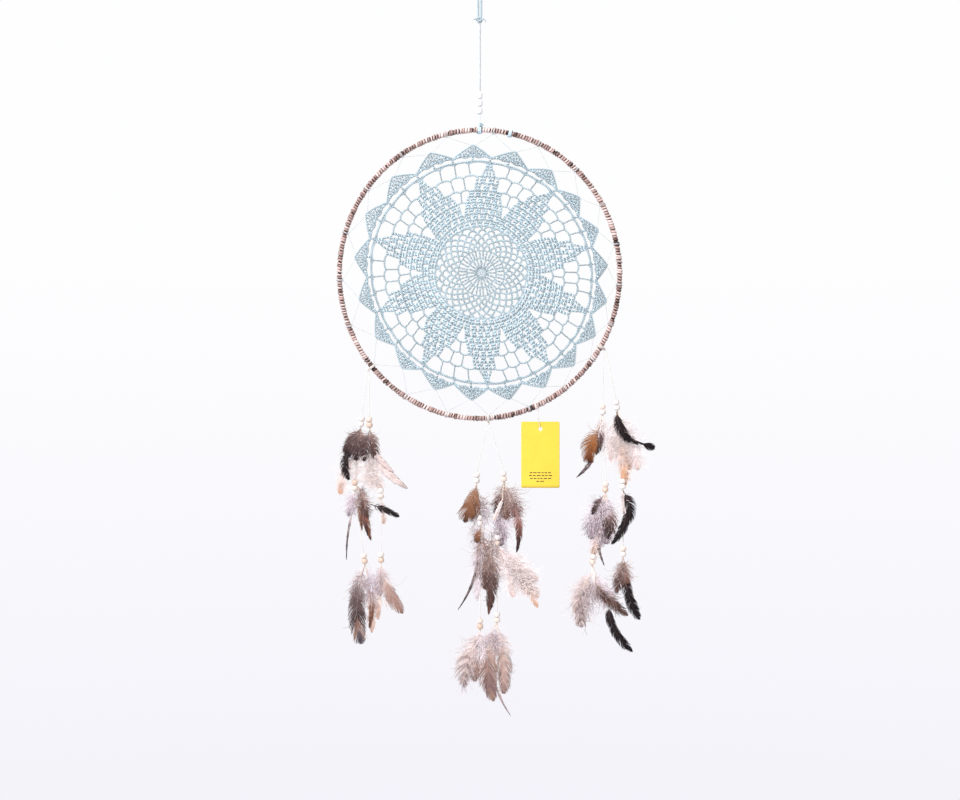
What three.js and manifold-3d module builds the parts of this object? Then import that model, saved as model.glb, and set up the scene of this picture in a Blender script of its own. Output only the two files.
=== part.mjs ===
// Dream catcher: a bark-wrapped hoop with a crocheted doily laced into it, hung by a beaded
// cord, with three tassels of beads and feathers below and a card swing tag.
//
// Millimetres, +Z up. The origin is the inside of the top of the hanging loop, where it rests
// on a hook. The front faces -Y. Angles round the hoop run anticlockwise from +X.

import * as THREE from 'three';
import { mergeVertices } from 'three/addons/utils/BufferGeometryUtils.js';
import Module from 'manifold-3d';

const wasm = await Module();
wasm.setup();

// Gaps and facets
const GAP = 0.35;                  // clearance between neighbouring pieces
const CORD_SIDES = 8;
const BEAD_SIDES = 8;
const TUFT_SIDES = 8;

// Hoop: a steel ring under a wrapped strip, slightly taller than it is wide
const HOOP_CENTRE_Z = -365;
const HOOP_HALF_WIDTH = 171.5;     // rod centre line, from the middle to the side
const HOOP_HALF_HEIGHT = 176.5;    // rod centre line, from the middle to the top
const HOOP_STEPS = 56;
const CORE_RADIUS = 2;
const CORE_JOINT_DEGREES = 0.2;    // half of the open butt joint at the top of the ring
const WRAP_BORE_RADIUS = 2.6;
const WRAP_RADIUS = 3.4;
const WRAP_JOINT_DEGREES = 0.8;    // half of the gap where the strip starts and ends

// Doily: twenty fans round its edge, pulled slightly out of round by the lacing
const DOILY_CENTRE_X = 2.4;
const DOILY_CENTRE_Z = -363.5;
const DOILY_THICKNESS = 1.6;
const TIP_COUNT = 20;
const FIRST_TIP_DEGREES = 98;
const TIP_RADIUS = 155.7;
const TIP_RADIUS_PULL = 4.4;       // the outline is this much longer along one diagonal
const PULL_DIAGONAL_DEGREES = 130;
const TIP_SHIFT_DEGREES = 6.3;     // the fans crowd together on one side by this much
const CROWDED_SIDE_DEGREES = 53;
const VALLEY_RADIUS = 141;         // edge of the doily between two fans

// Lacing: one thread zigzagging between the fan tips and the hoop
const LACE_WIDTH = 0.9;
const LACING_KNOT_DEGREES = 77.4;
const LACING_KNOT_LENGTH = 5;

// Hanger, along the Z axis
const CORD_RADIUS = 1.75;
const LOOP_CORD_RADIUS = 1.6;
const LOOP_HALF_WIDTH = 5.8;
const LOOP_LEG_OFFSET = 1.9;
const KNOT_Z = -54;
const KNOT_RADIUS = 5;
const HANGER_BEAD_RADIUS = 3.8;
const HANGER_BEAD_HEIGHT = 8.6;
const HANGER_BEAD_BORE = 1.3;
const HANGER_BEAD_PITCH = 9.1;
const TOP_BEAD_Z = -146.3;
const CORD_CORE_RADIUS = 0.9;      // the cord is thinner where it runs through the beads

// Hitches and bindings tied round the hoop
const HITCH_BORE_RADIUS = WRAP_RADIUS + 0.5;
const HITCH_WALL = 1.3;
const HANGER_HITCH_LENGTH = 7;
const TASSEL_HITCH_LENGTH = 4;
const TASSEL_KNOT_RADIUS = 2;
const TASSEL_KNOT_OFFSET = HITCH_BORE_RADIUS + HITCH_WALL + 1;

// Tassel beads and threads
const THREAD_RADIUS = 0.6;
const THREAD_STEPS = 20;
const THREAD_SPREAD = 1.5;         // the two threads of a tassel leave its knot this far off centre
const THREAD_START_DROP = TASSEL_KNOT_RADIUS + GAP + 0.3;
const BEAD_RADIUS = 4;
const BEAD_HEIGHT = 6.6;
const BEAD_BORE = 1.05;
const PAIR_HALF = BEAD_HEIGHT + 0.05;

// Feather tufts: how flat they are, and the bundle of quills at their top
const TUFT_FLATNESS = 0.5;
const QUILL_RADIUS = 2;
const QUILL_LENGTH = 3;

// Each tassel hangs from the hoop at an angle and has two strands. A strand lists its three
// bead pairs as [x, z] from the tassel's knot, and the tuft that hangs under each pair as
// its length, its half width and how far its tip leans to the right.
const LEVELS = ['top', 'middle', 'low'];
const TASSELS = [
  {
    name: 'left',
    hoopDegrees: 220,
    strands: {
      a: {
        beads: [[-8.4, -62.8], [-16.5, -141.1], [-4.9, -230.5]],
        tufts: [[60, 11, -12], [54, 11, 4], [97, 9, -5]],
      },
      b: {
        beads: [[1.4, -64], [15.3, -150.9], [15.7, -229.2]],
        tufts: [[68, 13, 24], [48, 9, 9], [61, 9, 22]],
      },
    },
  },
  {
    name: 'centre',
    hoopDegrees: 273.5,
    strands: {
      a: {
        beads: [[-14.1, -66.8], [-10.1, -118.9], [-10.1, -245.5]],
        tufts: [[43, 11, -14], [104, 11, -8], [66, 11, -16]],
      },
      b: {
        beads: [[18.7, -65], [10.7, -143.3], [10.7, -237.6]],
        tufts: [[82, 11, 14], [68, 15, 30], [110, 12, 16]],
      },
    },
  },
  {
    name: 'right',
    hoopDegrees: 329.7,
    strands: {
      a: {
        beads: [[-2.8, -73.4], [0.8, -168.3], [-14.7, -257]],
        tufts: [[75, 12, -20], [70, 13, -6], [97, 10, 22]],
      },
      b: {
        beads: [[14.3, -68.2], [21.6, -164.6], [22.5, -247.2]],
        tufts: [[78, 17, 22], [62, 10, 8], [70, 11, 16]],
      },
    },
  },
];

// Swing tag
const TAG_X = 71.5;                // where its string goes over the hoop
const TAG_WIDTH = 47;
const TAG_HEIGHT = 81;
const TAG_THICKNESS = 0.6;
const TAG_CORNER = 1.5;
const TAG_HOLE_RADIUS = 2.4;
const TAG_HOLE_INSET = 9;          // hole centre below the top edge
const TAG_DROP = 29;               // hole centre below the hoop's rod
const TAG_SHIFT = 3;               // the tag hangs a little to the right of its string's top
const STRING_RADIUS = 0.45;
const STRING_KNOT_RADIUS = 1.3;

const radians = THREE.MathUtils.degToRad;

const colours = {
  bark: new THREE.MeshStandardMaterial({ color: 0x9c7d6a, roughness: 0.8 }),
  steel: new THREE.MeshStandardMaterial({ color: 0x8d8f92, roughness: 0.35, metalness: 1 }),
  blueYarn: new THREE.MeshStandardMaterial({ color: 0xb4c3dc, roughness: 0.9 }),
  lace: new THREE.MeshStandardMaterial({ color: 0xc9d2de, roughness: 0.85 }),
  thread: new THREE.MeshStandardMaterial({ color: 0xe4dccf, roughness: 0.9 }),
  whiteBead: new THREE.MeshStandardMaterial({ color: 0xf0ebe2, roughness: 0.4 }),
  woodBead: new THREE.MeshStandardMaterial({ color: 0xd9b48a, roughness: 0.55 }),
  darkFeather: new THREE.MeshStandardMaterial({ color: 0x4b3d36, roughness: 0.85 }),
  paleFeather: new THREE.MeshStandardMaterial({ color: 0xcfc4b8, roughness: 0.9 }),
  card: new THREE.MeshStandardMaterial({ color: 0xf2d22e, roughness: 0.7 }),
};

const dreamCatcher = new THREE.Group();

// ---- Helpers ----

function addMesh(parent, name, geometry, material) {
  const mesh = new THREE.Mesh(geometry, material);
  mesh.name = name;
  parent.add(mesh);
  return mesh;
}

function polygon(radius, sides) {
  const points = [];
  for (let i = 0; i < sides; i++) {
    const angle = (2 * Math.PI * i) / sides;
    points.push(new THREE.Vector2(radius * Math.cos(angle), radius * Math.sin(angle)));
  }
  return points;
}

// A rod or pipe of polygonal section swept along a curve.
function sweep(path, radius, steps, boreRadius = 0) {
  const section = new THREE.Shape(polygon(radius, CORD_SIDES));
  if (boreRadius > 0) {
    section.holes.push(new THREE.Path(polygon(boreRadius, CORD_SIDES)));
  }
  return new THREE.ExtrudeGeometry(section, { steps, extrudePath: path });
}

// A solid of revolution about Z. The profile is [radius, z] pairs, anticlockwise.
function revolve(profile, sides) {
  const points = profile.map(([radius, z]) => new THREE.Vector2(radius, z));
  return new THREE.LatheGeometry(points, sides).rotateX(Math.PI / 2);
}

// A flat shape drawn in X and Z, given a thickness about Y = 0.
function plate(shape, thickness) {
  const geometry = new THREE.ExtrudeGeometry(shape, { depth: thickness, bevelEnabled: false });
  return geometry.rotateX(Math.PI / 2).translate(0, thickness / 2, 0);
}

// The solid of a geometry, with shared corners merged and empty triangles dropped.
function toSolid(geometry) {
  const bare = geometry.clone();
  bare.deleteAttribute('normal');
  bare.deleteAttribute('uv');
  const merged = mergeVertices(bare);
  const corners = merged.index.array;
  const triangles = [];
  for (let i = 0; i < corners.length; i += 3) {
    const [a, b, c] = corners.subarray(i, i + 3);
    if (a !== b && b !== c && c !== a) {
      triangles.push(a, b, c);
    }
  }
  const vertProperties = merged.attributes.position.array;
  const triVerts = new Uint32Array(triangles);
  return new wasm.Manifold(new wasm.Mesh({ numProp: 3, vertProperties, triVerts }));
}

function toGeometry(solid) {
  const mesh = solid.getMesh();
  const geometry = new THREE.BufferGeometry();
  geometry.setAttribute('position', new THREE.BufferAttribute(mesh.vertProperties, 3));
  geometry.setIndex(new THREE.BufferAttribute(mesh.triVerts, 1));
  geometry.computeVertexNormals();
  return geometry;
}

// A ring tied round the hoop's rod, which runs through it along X.
function hitchRing(length) {
  const inner = HITCH_BORE_RADIUS;
  const outer = inner + HITCH_WALL;
  const half = length / 2;
  const profile = [
    [inner, -half],
    [outer - 0.5, -half],
    [outer, -half + 0.8],
    [outer, half - 0.8],
    [outer - 0.5, half],
    [inner, half],
    [inner, -half],
  ];
  return revolve(profile, 12).rotateY(Math.PI / 2);
}

// A drilled bead or a run of touching beads, centred on the origin.
function beads(count, radius, height, bore) {
  const waist = radius * 0.62;
  const bottom = (-count * height) / 2;
  const profile = [[bore, bottom]];
  for (let i = 0; i < count; i++) {
    const base = bottom + i * height;
    profile.push([waist, base]);
    profile.push([radius, base + height * 0.3]);
    profile.push([radius, base + height * 0.7]);
  }
  profile.push([waist, -bottom], [bore, -bottom], [bore, bottom]);
  return revolve(profile, BEAD_SIDES);
}

// ---- Hoop ----

class HoopArc extends THREE.Curve {
  constructor(jointDegrees) {
    super();
    this.start = radians(90 + jointDegrees);
    this.sweep = radians(360 - 2 * jointDegrees);
  }

  getPoint(t, target = new THREE.Vector3()) {
    const angle = this.start + t * this.sweep;
    return target.set(HOOP_HALF_WIDTH * Math.cos(angle), 0, HOOP_HALF_HEIGHT * Math.sin(angle));
  }
}

// Centre of the hoop's rod at an angle, and the rod's direction there.
function rodPoint(degrees) {
  const angle = radians(degrees);
  const x = HOOP_HALF_WIDTH * Math.cos(angle);
  return new THREE.Vector3(x, 0, HOOP_CENTRE_Z + HOOP_HALF_HEIGHT * Math.sin(angle));
}

function rodSlope(degrees) {
  const angle = radians(degrees);
  return Math.atan2(-HOOP_HALF_HEIGHT * Math.cos(angle), -HOOP_HALF_WIDTH * Math.sin(angle));
}

function rodOutward(degrees) {
  const slope = rodSlope(degrees);
  return new THREE.Vector3(-Math.sin(slope), 0, -Math.cos(slope));
}

const hoop = new THREE.Group();
hoop.position.z = HOOP_CENTRE_Z;
dreamCatcher.add(hoop);

const core = sweep(new HoopArc(CORE_JOINT_DEGREES), CORE_RADIUS, HOOP_STEPS);
addMesh(hoop, 'hoop_core', core, colours.steel);
const wrap = sweep(new HoopArc(WRAP_JOINT_DEGREES), WRAP_RADIUS, HOOP_STEPS, WRAP_BORE_RADIUS);
addMesh(hoop, 'hoop_wrap', wrap, colours.bark);

// ---- Doily and lacing ----

// Where a fan tip of the doily lies, counted clockwise, as [x, z] from the doily's centre.
// Half numbers lie midway between two tips.
function doilyPoint(index, radius, pull) {
  const even = radians(FIRST_TIP_DEGREES - (360 / TIP_COUNT) * index);
  const shift = radians(TIP_SHIFT_DEGREES) * Math.cos(even - radians(CROWDED_SIDE_DEGREES));
  const angle = even - shift;
  const reach = radius + pull * Math.cos(2 * (angle - radians(PULL_DIAGONAL_DEGREES)));
  return new THREE.Vector2(reach * Math.cos(angle), reach * Math.sin(angle));
}

function makeDoily() {
  const outline = [];
  for (let i = TIP_COUNT; i > 0; i--) {
    outline.push(doilyPoint(i, TIP_RADIUS, TIP_RADIUS_PULL));
    outline.push(doilyPoint(i - 0.5, VALLEY_RADIUS, TIP_RADIUS_PULL * 0.8));
  }
  return plate(new THREE.Shape(outline), DOILY_THICKNESS);
}

// The lacing's path as a closed zigzag, from the doily's centre.
function lacingPath() {
  const path = [];
  const clearOfTip = GAP + LACE_WIDTH;
  const clearOfRod = HITCH_BORE_RADIUS + HITCH_WALL + GAP + LACE_WIDTH;
  for (let i = TIP_COUNT; i > 0; i--) {
    path.push(doilyPoint(i, TIP_RADIUS + clearOfTip, TIP_RADIUS_PULL));
    const along = doilyPoint(i - 0.5, 1, 0);
    const centreAngle = along.angle();
    const rod = new THREE.Vector2(HOOP_HALF_WIDTH, HOOP_HALF_HEIGHT).subScalar(clearOfRod);
    const x = rod.x * Math.cos(centreAngle) - DOILY_CENTRE_X;
    const z = rod.y * Math.sin(centreAngle) + HOOP_CENTRE_Z - DOILY_CENTRE_Z;
    path.push(new THREE.Vector2(x, z));
  }
  return path;
}

// A closed path moved sideways by a distance, with its corners mitred.
function offsetPath(path, distance) {
  return path.map((corner, i) => {
    const before = path[(i + path.length - 1) % path.length];
    const after = path[(i + 1) % path.length];
    const arriving = corner.clone().sub(before).normalize();
    const leaving = after.clone().sub(corner).normalize();
    const bisector = arriving.clone().add(leaving).normalize();
    const outward = new THREE.Vector2(bisector.y, -bisector.x);
    const stretch = 1 / outward.dot(new THREE.Vector2(arriving.y, -arriving.x));
    return corner.clone().addScaledVector(outward, distance * stretch);
  });
}

function makeLacing() {
  const path = lacingPath();
  const band = new THREE.Shape(offsetPath(path, LACE_WIDTH / 2));
  band.holes.push(new THREE.Path(offsetPath(path, -LACE_WIDTH / 2)));
  return plate(band, LACE_WIDTH);
}

const web = new THREE.Group();
web.position.set(DOILY_CENTRE_X, 0, DOILY_CENTRE_Z);
dreamCatcher.add(web);
addMesh(web, 'doily', makeDoily(), colours.blueYarn);
addMesh(web, 'lacing_thread', makeLacing(), colours.lace);

const lacingKnot = addMesh(
  dreamCatcher,
  'lacing_knot',
  hitchRing(LACING_KNOT_LENGTH),
  colours.blueYarn,
);
lacingKnot.position.copy(rodPoint(LACING_KNOT_DEGREES));
lacingKnot.rotation.y = rodSlope(LACING_KNOT_DEGREES);

// ---- Hanger ----

function makeLoop() {
  const foot = KNOT_Z + KNOT_RADIUS + GAP + 0.6;
  const side = [
    new THREE.Vector3(LOOP_LEG_OFFSET, 0, foot),
    new THREE.Vector3(LOOP_LEG_OFFSET, 0, foot + 8),
    new THREE.Vector3(LOOP_LEG_OFFSET + 0.2, 0, -30),
    new THREE.Vector3(LOOP_HALF_WIDTH - 0.8, 0, -18),
    new THREE.Vector3(LOOP_HALF_WIDTH, 0, -8),
    new THREE.Vector3(LOOP_HALF_WIDTH * 0.6, 0, -0.6),
  ];
  const top = new THREE.Vector3(0, 0, LOOP_CORD_RADIUS);
  const otherSide = side.map((point) => point.clone().setX(-point.x)).reverse();
  const route = new THREE.CatmullRomCurve3([...side, top, ...otherSide]);
  return sweep(route, LOOP_CORD_RADIUS, 26);
}

// The overhand knot under the loop, with the cord's two cut ends sticking out of it.
function makeKnot() {
  let knot = toSolid(new THREE.SphereGeometry(KNOT_RADIUS, 12, 8).rotateX(Math.PI / 2));
  for (const side of [-1, 1]) {
    const tail = new THREE.CatmullRomCurve3([
      new THREE.Vector3(side * 2, -1, 0),
      new THREE.Vector3(side * 5.5, -2, 0.8),
      new THREE.Vector3(side * 7.4, -2.4, -1.6 - side),
    ]);
    knot = knot.add(toSolid(sweep(tail, 1.1, 3)));
  }
  return toGeometry(knot);
}

const beadZ = [0, 1, 2].map((i) => TOP_BEAD_Z - i * HANGER_BEAD_PITCH);
const cordTop = KNOT_Z - KNOT_RADIUS - GAP;
const shoulderZ = beadZ[0] + HANGER_BEAD_HEIGHT / 2 + GAP;
const cordEnd = beadZ[2] - HANGER_BEAD_HEIGHT / 2 - 0.1;

addMesh(dreamCatcher, 'hanger_loop', makeLoop(), colours.blueYarn);
const knot = addMesh(dreamCatcher, 'hanger_knot', makeKnot(), colours.blueYarn);
knot.position.z = KNOT_Z;

const cordProfile = [
  [0, cordEnd],
  [CORD_CORE_RADIUS, cordEnd],
  [CORD_CORE_RADIUS, shoulderZ],
  [CORD_RADIUS, shoulderZ],
  [CORD_RADIUS, cordTop],
  [0, cordTop],
];
addMesh(dreamCatcher, 'hanger_cord', revolve(cordProfile, CORD_SIDES), colours.blueYarn);

['top', 'middle', 'bottom'].forEach((place, i) => {
  const shape = beads(1, HANGER_BEAD_RADIUS, HANGER_BEAD_HEIGHT, HANGER_BEAD_BORE);
  const bead = addMesh(dreamCatcher, `hanger_bead_${place}`, shape, colours.whiteBead);
  bead.position.z = beadZ[i];
});

// The hitch that grips the top of the hoop, with the cord's neck rising to the beads.
function makeHangerHitch() {
  const neckTop = cordEnd - GAP - rodPoint(90).z;
  const neckFoot = HITCH_BORE_RADIUS + 0.4;
  const neck = revolve(
    [[0, neckFoot], [CORD_RADIUS + 0.6, neckFoot], [CORD_RADIUS, neckTop], [0, neckTop]],
    CORD_SIDES,
  );
  return toGeometry(toSolid(hitchRing(HANGER_HITCH_LENGTH)).add(toSolid(neck)));
}

const hangerHitch = addMesh(dreamCatcher, 'hanger_hitch', makeHangerHitch(), colours.blueYarn);
hangerHitch.position.copy(rodPoint(90));

// ---- Tassels ----

function tasselHitch(degrees, knotOffset) {
  const ring = toSolid(hitchRing(TASSEL_HITCH_LENGTH).rotateY(rodSlope(degrees)));
  const ball = new THREE.SphereGeometry(TASSEL_KNOT_RADIUS, 8, 6);
  return toGeometry(ring.add(toSolid(ball.translate(...knotOffset.toArray()))));
}

// Directions of the thread through each bead pair, so that the beads line up with it.
function beadAxes(start, centres) {
  const stops = [start, ...centres];
  return centres.map((centre, i) => {
    const axis = stops[i].clone().sub(centre).normalize();
    const next = centres[i + 1];
    if (next) {
      axis.add(centre.clone().sub(next).normalize()).normalize();
    }
    return axis;
  });
}

// The thread's route from the knot, through the upper bead pairs, down to the lowest pair.
function threadRoute(start, centres, axes) {
  const route = [start];
  centres.forEach((centre, i) => {
    const top = centre.clone().addScaledVector(axes[i], PAIR_HALF + GAP);
    route.push(top);
    if (i < centres.length - 1) {
      route.push(centre.clone());
      route.push(centre.clone().addScaledVector(axes[i], -PAIR_HALF - GAP));
    }
  });
  return new THREE.CatmullRomCurve3(route);
}

// A bunch of feathers as one flattened drop, hanging from the origin, with its tip leaning.
function makeTuft([length, halfWidth, lean]) {
  const profile = [
    [0, -length],
    [halfWidth * 0.25, -length],
    [halfWidth * 0.8, -length * 0.72],
    [halfWidth, -length * 0.45],
    [halfWidth * 0.6, -length * 0.18],
    [QUILL_RADIUS, -QUILL_LENGTH],
    [QUILL_RADIUS, 0],
    [0, 0],
  ];
  const tuft = revolve(profile, TUFT_SIDES);
  const position = tuft.attributes.position;
  for (let i = 0; i < position.count; i++) {
    const depth = Math.max(0, -position.getZ(i) / length);
    position.setX(i, position.getX(i) + lean * depth);
    if (depth * length > QUILL_LENGTH) {
      position.setY(i, position.getY(i) * TUFT_FLATNESS);
    }
  }
  return tuft;
}

function addStrand(tassel, name, { beads: places, tufts }, side) {
  const start = new THREE.Vector3(side * THREAD_SPREAD, 0, -THREAD_START_DROP);
  const centres = places.map(([x, z]) => new THREE.Vector3(x, 0, z));
  const axes = beadAxes(start, centres);
  const route = threadRoute(start, centres, axes);
  addMesh(tassel, `${name}_thread`, sweep(route, THREAD_RADIUS, THREAD_STEPS), colours.thread);
  const channel = toSolid(sweep(route, THREAD_RADIUS + GAP, THREAD_STEPS));

  LEVELS.forEach((level, i) => {
    const pair = beads(2, BEAD_RADIUS, BEAD_HEIGHT, BEAD_BORE);
    const beadMesh = addMesh(tassel, `${name}_beads_${level}`, pair, colours.woodBead);
    beadMesh.position.copy(centres[i]);
    beadMesh.rotation.y = Math.atan2(axes[i].x, axes[i].z);

    const hang = centres[i].clone().addScaledVector(axes[i], -PAIR_HALF);
    hang.z -= 1;
    let tuft = makeTuft(tufts[i]);
    if (level !== 'low') {
      const local = channel.translate([-hang.x, 0, -hang.z]);
      tuft = toGeometry(toSolid(tuft).subtract(local));
    }
    const material = level === 'middle' ? colours.paleFeather : colours.darkFeather;
    const tuftMesh = addMesh(tassel, `${name}_tuft_${level}`, tuft, material);
    tuftMesh.position.copy(hang);
  });
}

for (const { name, hoopDegrees, strands } of TASSELS) {
  const rod = rodPoint(hoopDegrees);
  const knotOffset = rodOutward(hoopDegrees).multiplyScalar(TASSEL_KNOT_OFFSET);
  const hitchShape = tasselHitch(hoopDegrees, knotOffset);
  addMesh(dreamCatcher, `hitch_${name}`, hitchShape, colours.thread).position.copy(rod);

  const tassel = new THREE.Group();
  tassel.position.copy(rod).add(knotOffset);
  dreamCatcher.add(tassel);
  addStrand(tassel, `${name}_a`, strands.a, -1);
  addStrand(tassel, `${name}_b`, strands.b, 1);
}

// ---- Swing tag ----

function makeTag() {
  const halfWidth = TAG_WIDTH / 2;
  const top = TAG_HOLE_INSET;
  const bottom = TAG_HOLE_INSET - TAG_HEIGHT;
  const card = new THREE.Shape();
  card.moveTo(-halfWidth + TAG_CORNER, bottom);
  card.lineTo(halfWidth - TAG_CORNER, bottom);
  card.lineTo(halfWidth, bottom + TAG_CORNER);
  card.lineTo(halfWidth, top - TAG_CORNER);
  card.lineTo(halfWidth - TAG_CORNER, top);
  card.lineTo(-halfWidth + TAG_CORNER, top);
  card.lineTo(-halfWidth, top - TAG_CORNER);
  card.lineTo(-halfWidth, bottom + TAG_CORNER);
  card.closePath();
  card.holes.push(new THREE.Path(polygon(TAG_HOLE_RADIUS, 12)));
  return plate(card, TAG_THICKNESS);
}

// A loop of string over the rod and through the tag's hole, closed by a small knot.
function makeTagString() {
  const over = HITCH_BORE_RADIUS + STRING_RADIUS + 0.4;
  const hole = -TAG_DROP;
  const slant = (z) => (TAG_SHIFT * z) / hole;
  const at = (y, z) => new THREE.Vector3(slant(z), y, z);
  const route = new THREE.CatmullRomCurve3([
    at(-2.6, -15.5),
    at(-over, -5),
    at(-over, 0),
    at(-over * 0.7, over * 0.72),
    at(0, over),
    at(over * 0.7, over * 0.72),
    at(over, 0),
    at(over, -5),
    at(2.6, -16),
    at(1.5, hole + 3),
    at(0.9, hole - 0.9),
    at(0, hole - 1.5),
    at(-0.9, hole - 0.9),
    at(-1.5, hole + 3),
    at(-2.4, -17.5),
  ]);
  const loop = toSolid(sweep(route, STRING_RADIUS, 30));
  const ball = new THREE.SphereGeometry(STRING_KNOT_RADIUS, 8, 6);
  const knotPlace = at(-2.5, -16.5);
  return toGeometry(loop.add(toSolid(ball.translate(...knotPlace.toArray()))));
}

const tagAnchor = new THREE.Group();
const tagDegrees = -THREE.MathUtils.radToDeg(Math.acos(TAG_X / HOOP_HALF_WIDTH));
tagAnchor.position.copy(rodPoint(tagDegrees));
dreamCatcher.add(tagAnchor);
addMesh(tagAnchor, 'tag_string', makeTagString(), colours.thread);
const card = addMesh(tagAnchor, 'tag_card', makeTag(), colours.card);
card.position.set(TAG_SHIFT, 0, -TAG_DROP);

export default dreamCatcher;
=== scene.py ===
# Dream catcher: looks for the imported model. Lengths are in millimetres and angles in degrees
# unless a comment says otherwise, in the model's own frame: +Z up, front facing -Y, origin at
# the top of the hanging loop. Angles round the hoop and the doily run anticlockwise from +X.

import math

import bpy
import numpy as np
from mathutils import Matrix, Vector


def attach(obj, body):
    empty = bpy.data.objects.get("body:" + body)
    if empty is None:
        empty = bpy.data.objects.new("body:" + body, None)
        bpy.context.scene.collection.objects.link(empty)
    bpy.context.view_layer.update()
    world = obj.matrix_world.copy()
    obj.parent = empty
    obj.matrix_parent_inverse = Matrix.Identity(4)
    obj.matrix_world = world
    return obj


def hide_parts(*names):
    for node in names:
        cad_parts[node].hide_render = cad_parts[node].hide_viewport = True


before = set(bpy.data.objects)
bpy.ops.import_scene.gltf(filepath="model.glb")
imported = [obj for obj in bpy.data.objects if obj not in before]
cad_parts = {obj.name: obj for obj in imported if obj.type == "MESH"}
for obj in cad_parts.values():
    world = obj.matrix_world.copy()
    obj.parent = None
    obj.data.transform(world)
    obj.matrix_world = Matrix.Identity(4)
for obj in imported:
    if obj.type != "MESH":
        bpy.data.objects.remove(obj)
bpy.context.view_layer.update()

MM = 0.001
FRONT = np.array([0.0, -1.0, 0.0])

# The hoop, the doily and the hanger, as in the CAD model
HOOP_Z = -365.0
HALF_WIDTH = 171.5      # of the hoop, to the rod's centre line
HALF_HEIGHT = 176.5
WRAP_R = 3.4
WRAP_JOINT = 0.8        # from the top of the hoop to each end of the strip
DOILY = (2.4, -363.5)
TIP_R = 155.7           # from the doily's middle to the point of a fan
FIRST_TIP = 98
TIP_STEP = 18
TIP_PULL = 4.4          # the outline is this much longer along one diagonal
PULL_DIAGONAL = 130
TIP_SHIFT = 6.3         # the fans crowd together on one side by this much
CROWDED_SIDE = 53
LACING_KNOT = 77.4      # where the lacing is tied off
KNOT_Z = -54.0
BEADS_Z = (-146.3, -155.4, -164.6)
HANGER_BEAD = (3.8, 8.6, 1.3)  # radius, height and bore

# The tassels: the place of each one's knot on the hoop, and for each of its two threads the
# places (x, z) of its three bead pairs, from the knot
THREAD_R = 0.6
PAIR_HALF = 6.65        # half the height of a pair of beads
PAIR_GAP = 0.35
BEAD = (4.0, 6.5, 1.05)  # radius, height and bore
LEVELS = ("top", "middle", "low")
TASSELS = {
    "left": (220.0, {"a": [(-8.4, -62.8), (-16.5, -141.1), (-4.9, -230.5)],
                     "b": [(1.4, -64.0), (15.3, -150.9), (15.7, -229.2)]}),
    "centre": (273.5, {"a": [(-14.1, -66.8), (-10.1, -118.9), (-10.1, -245.5)],
                       "b": [(18.7, -65.0), (10.7, -143.3), (10.7, -237.6)]}),
    "right": (329.7, {"a": [(-2.8, -73.4), (0.8, -168.3), (-14.7, -257.0)],
                      "b": [(14.3, -68.2), (21.6, -164.6), (22.5, -247.2)]}),
}


# ---- Small maths ----


def linear(*rgb):
    """An sRGB colour from 0 to 255, as linear light."""
    c = np.asarray(rgb, float) / 255
    return np.where(c <= 0.04045, c / 12.92, ((c + 0.055) / 1.055) ** 2.4)


def unit(v):
    """Vectors of length 1."""
    v = np.asarray(v, float)
    return v / np.maximum(np.linalg.norm(v, axis=-1, keepdims=True), 1e-12)


def smoothstep(x, low, high):
    """0 below low, 1 above high, and an easy slope between."""
    x = np.clip((x - low) / (high - low), 0, 1)
    return x * x * (3 - 2 * x)


def ramp(x, stops):
    """Colours along a list of (place, colour) stops."""
    places = [p for p, _ in stops]
    colours = np.array([linear(*c) for _, c in stops])
    return np.stack([np.interp(x, places, colours[:, i]) for i in range(3)], -1)


def resample(path, step):
    """The path with its points a step apart, and how far along it each one is."""
    path = np.asarray(path, float)
    gaps = np.linalg.norm(np.diff(path, axis=0), axis=1)
    along = np.concatenate([[0], np.cumsum(gaps)])
    count = max(3, int(round(along[-1] / step)) + 1)
    want = np.linspace(0, along[-1], count)
    return np.stack([np.interp(want, along, path[:, i]) for i in range(path.shape[1])], -1), want


def catmull(points, per_span=12):
    """A smooth curve through the points: centripetal Catmull-Rom."""
    p = np.asarray(points, float)
    p = np.concatenate([[2 * p[0] - p[1]], p, [2 * p[-1] - p[-2]]])
    out = []
    for i in range(len(p) - 3):
        a, b, c, d = p[i : i + 4]
        t0 = 0.0
        t1 = t0 + np.linalg.norm(b - a) ** 0.5
        t2 = t1 + np.linalg.norm(c - b) ** 0.5
        t3 = t2 + np.linalg.norm(d - c) ** 0.5
        t = np.linspace(t1, t2, per_span, endpoint=False)[:, None]
        ab = (t1 - t) / (t1 - t0) * a + (t - t0) / (t1 - t0) * b
        bc = (t2 - t) / (t2 - t1) * b + (t - t1) / (t2 - t1) * c
        cd = (t3 - t) / (t3 - t2) * c + (t - t2) / (t3 - t2) * d
        abc = (t2 - t) / (t2 - t0) * ab + (t - t0) / (t2 - t0) * bc
        bcd = (t3 - t) / (t3 - t1) * bc + (t - t1) / (t3 - t1) * cd
        out.append((t2 - t) / (t2 - t1) * abc + (t - t1) / (t2 - t1) * bcd)
    out.append(p[-2][None])
    return np.concatenate(out)


def frames_along(path):
    """Directions along a path and two directions across it that don't twist."""
    along = unit(np.gradient(path, axis=0))
    side = np.zeros_like(path)
    start = np.cross(along[0], FRONT)
    if np.linalg.norm(start) < 0.2:
        start = np.cross(along[0], (1.0, 0, 0))
    side[0] = unit(start)
    for i in range(1, len(path)):
        s = side[i - 1] - (side[i - 1] @ along[i]) * along[i]
        side[i] = s / np.linalg.norm(s)
    return along, side, np.cross(side, along)


def vec(x, z, y=0.0):
    """A point or direction, which mostly lies in the face of the hoop."""
    return np.array([x, y, z], float)


# ---- Mesh building ----


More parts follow.
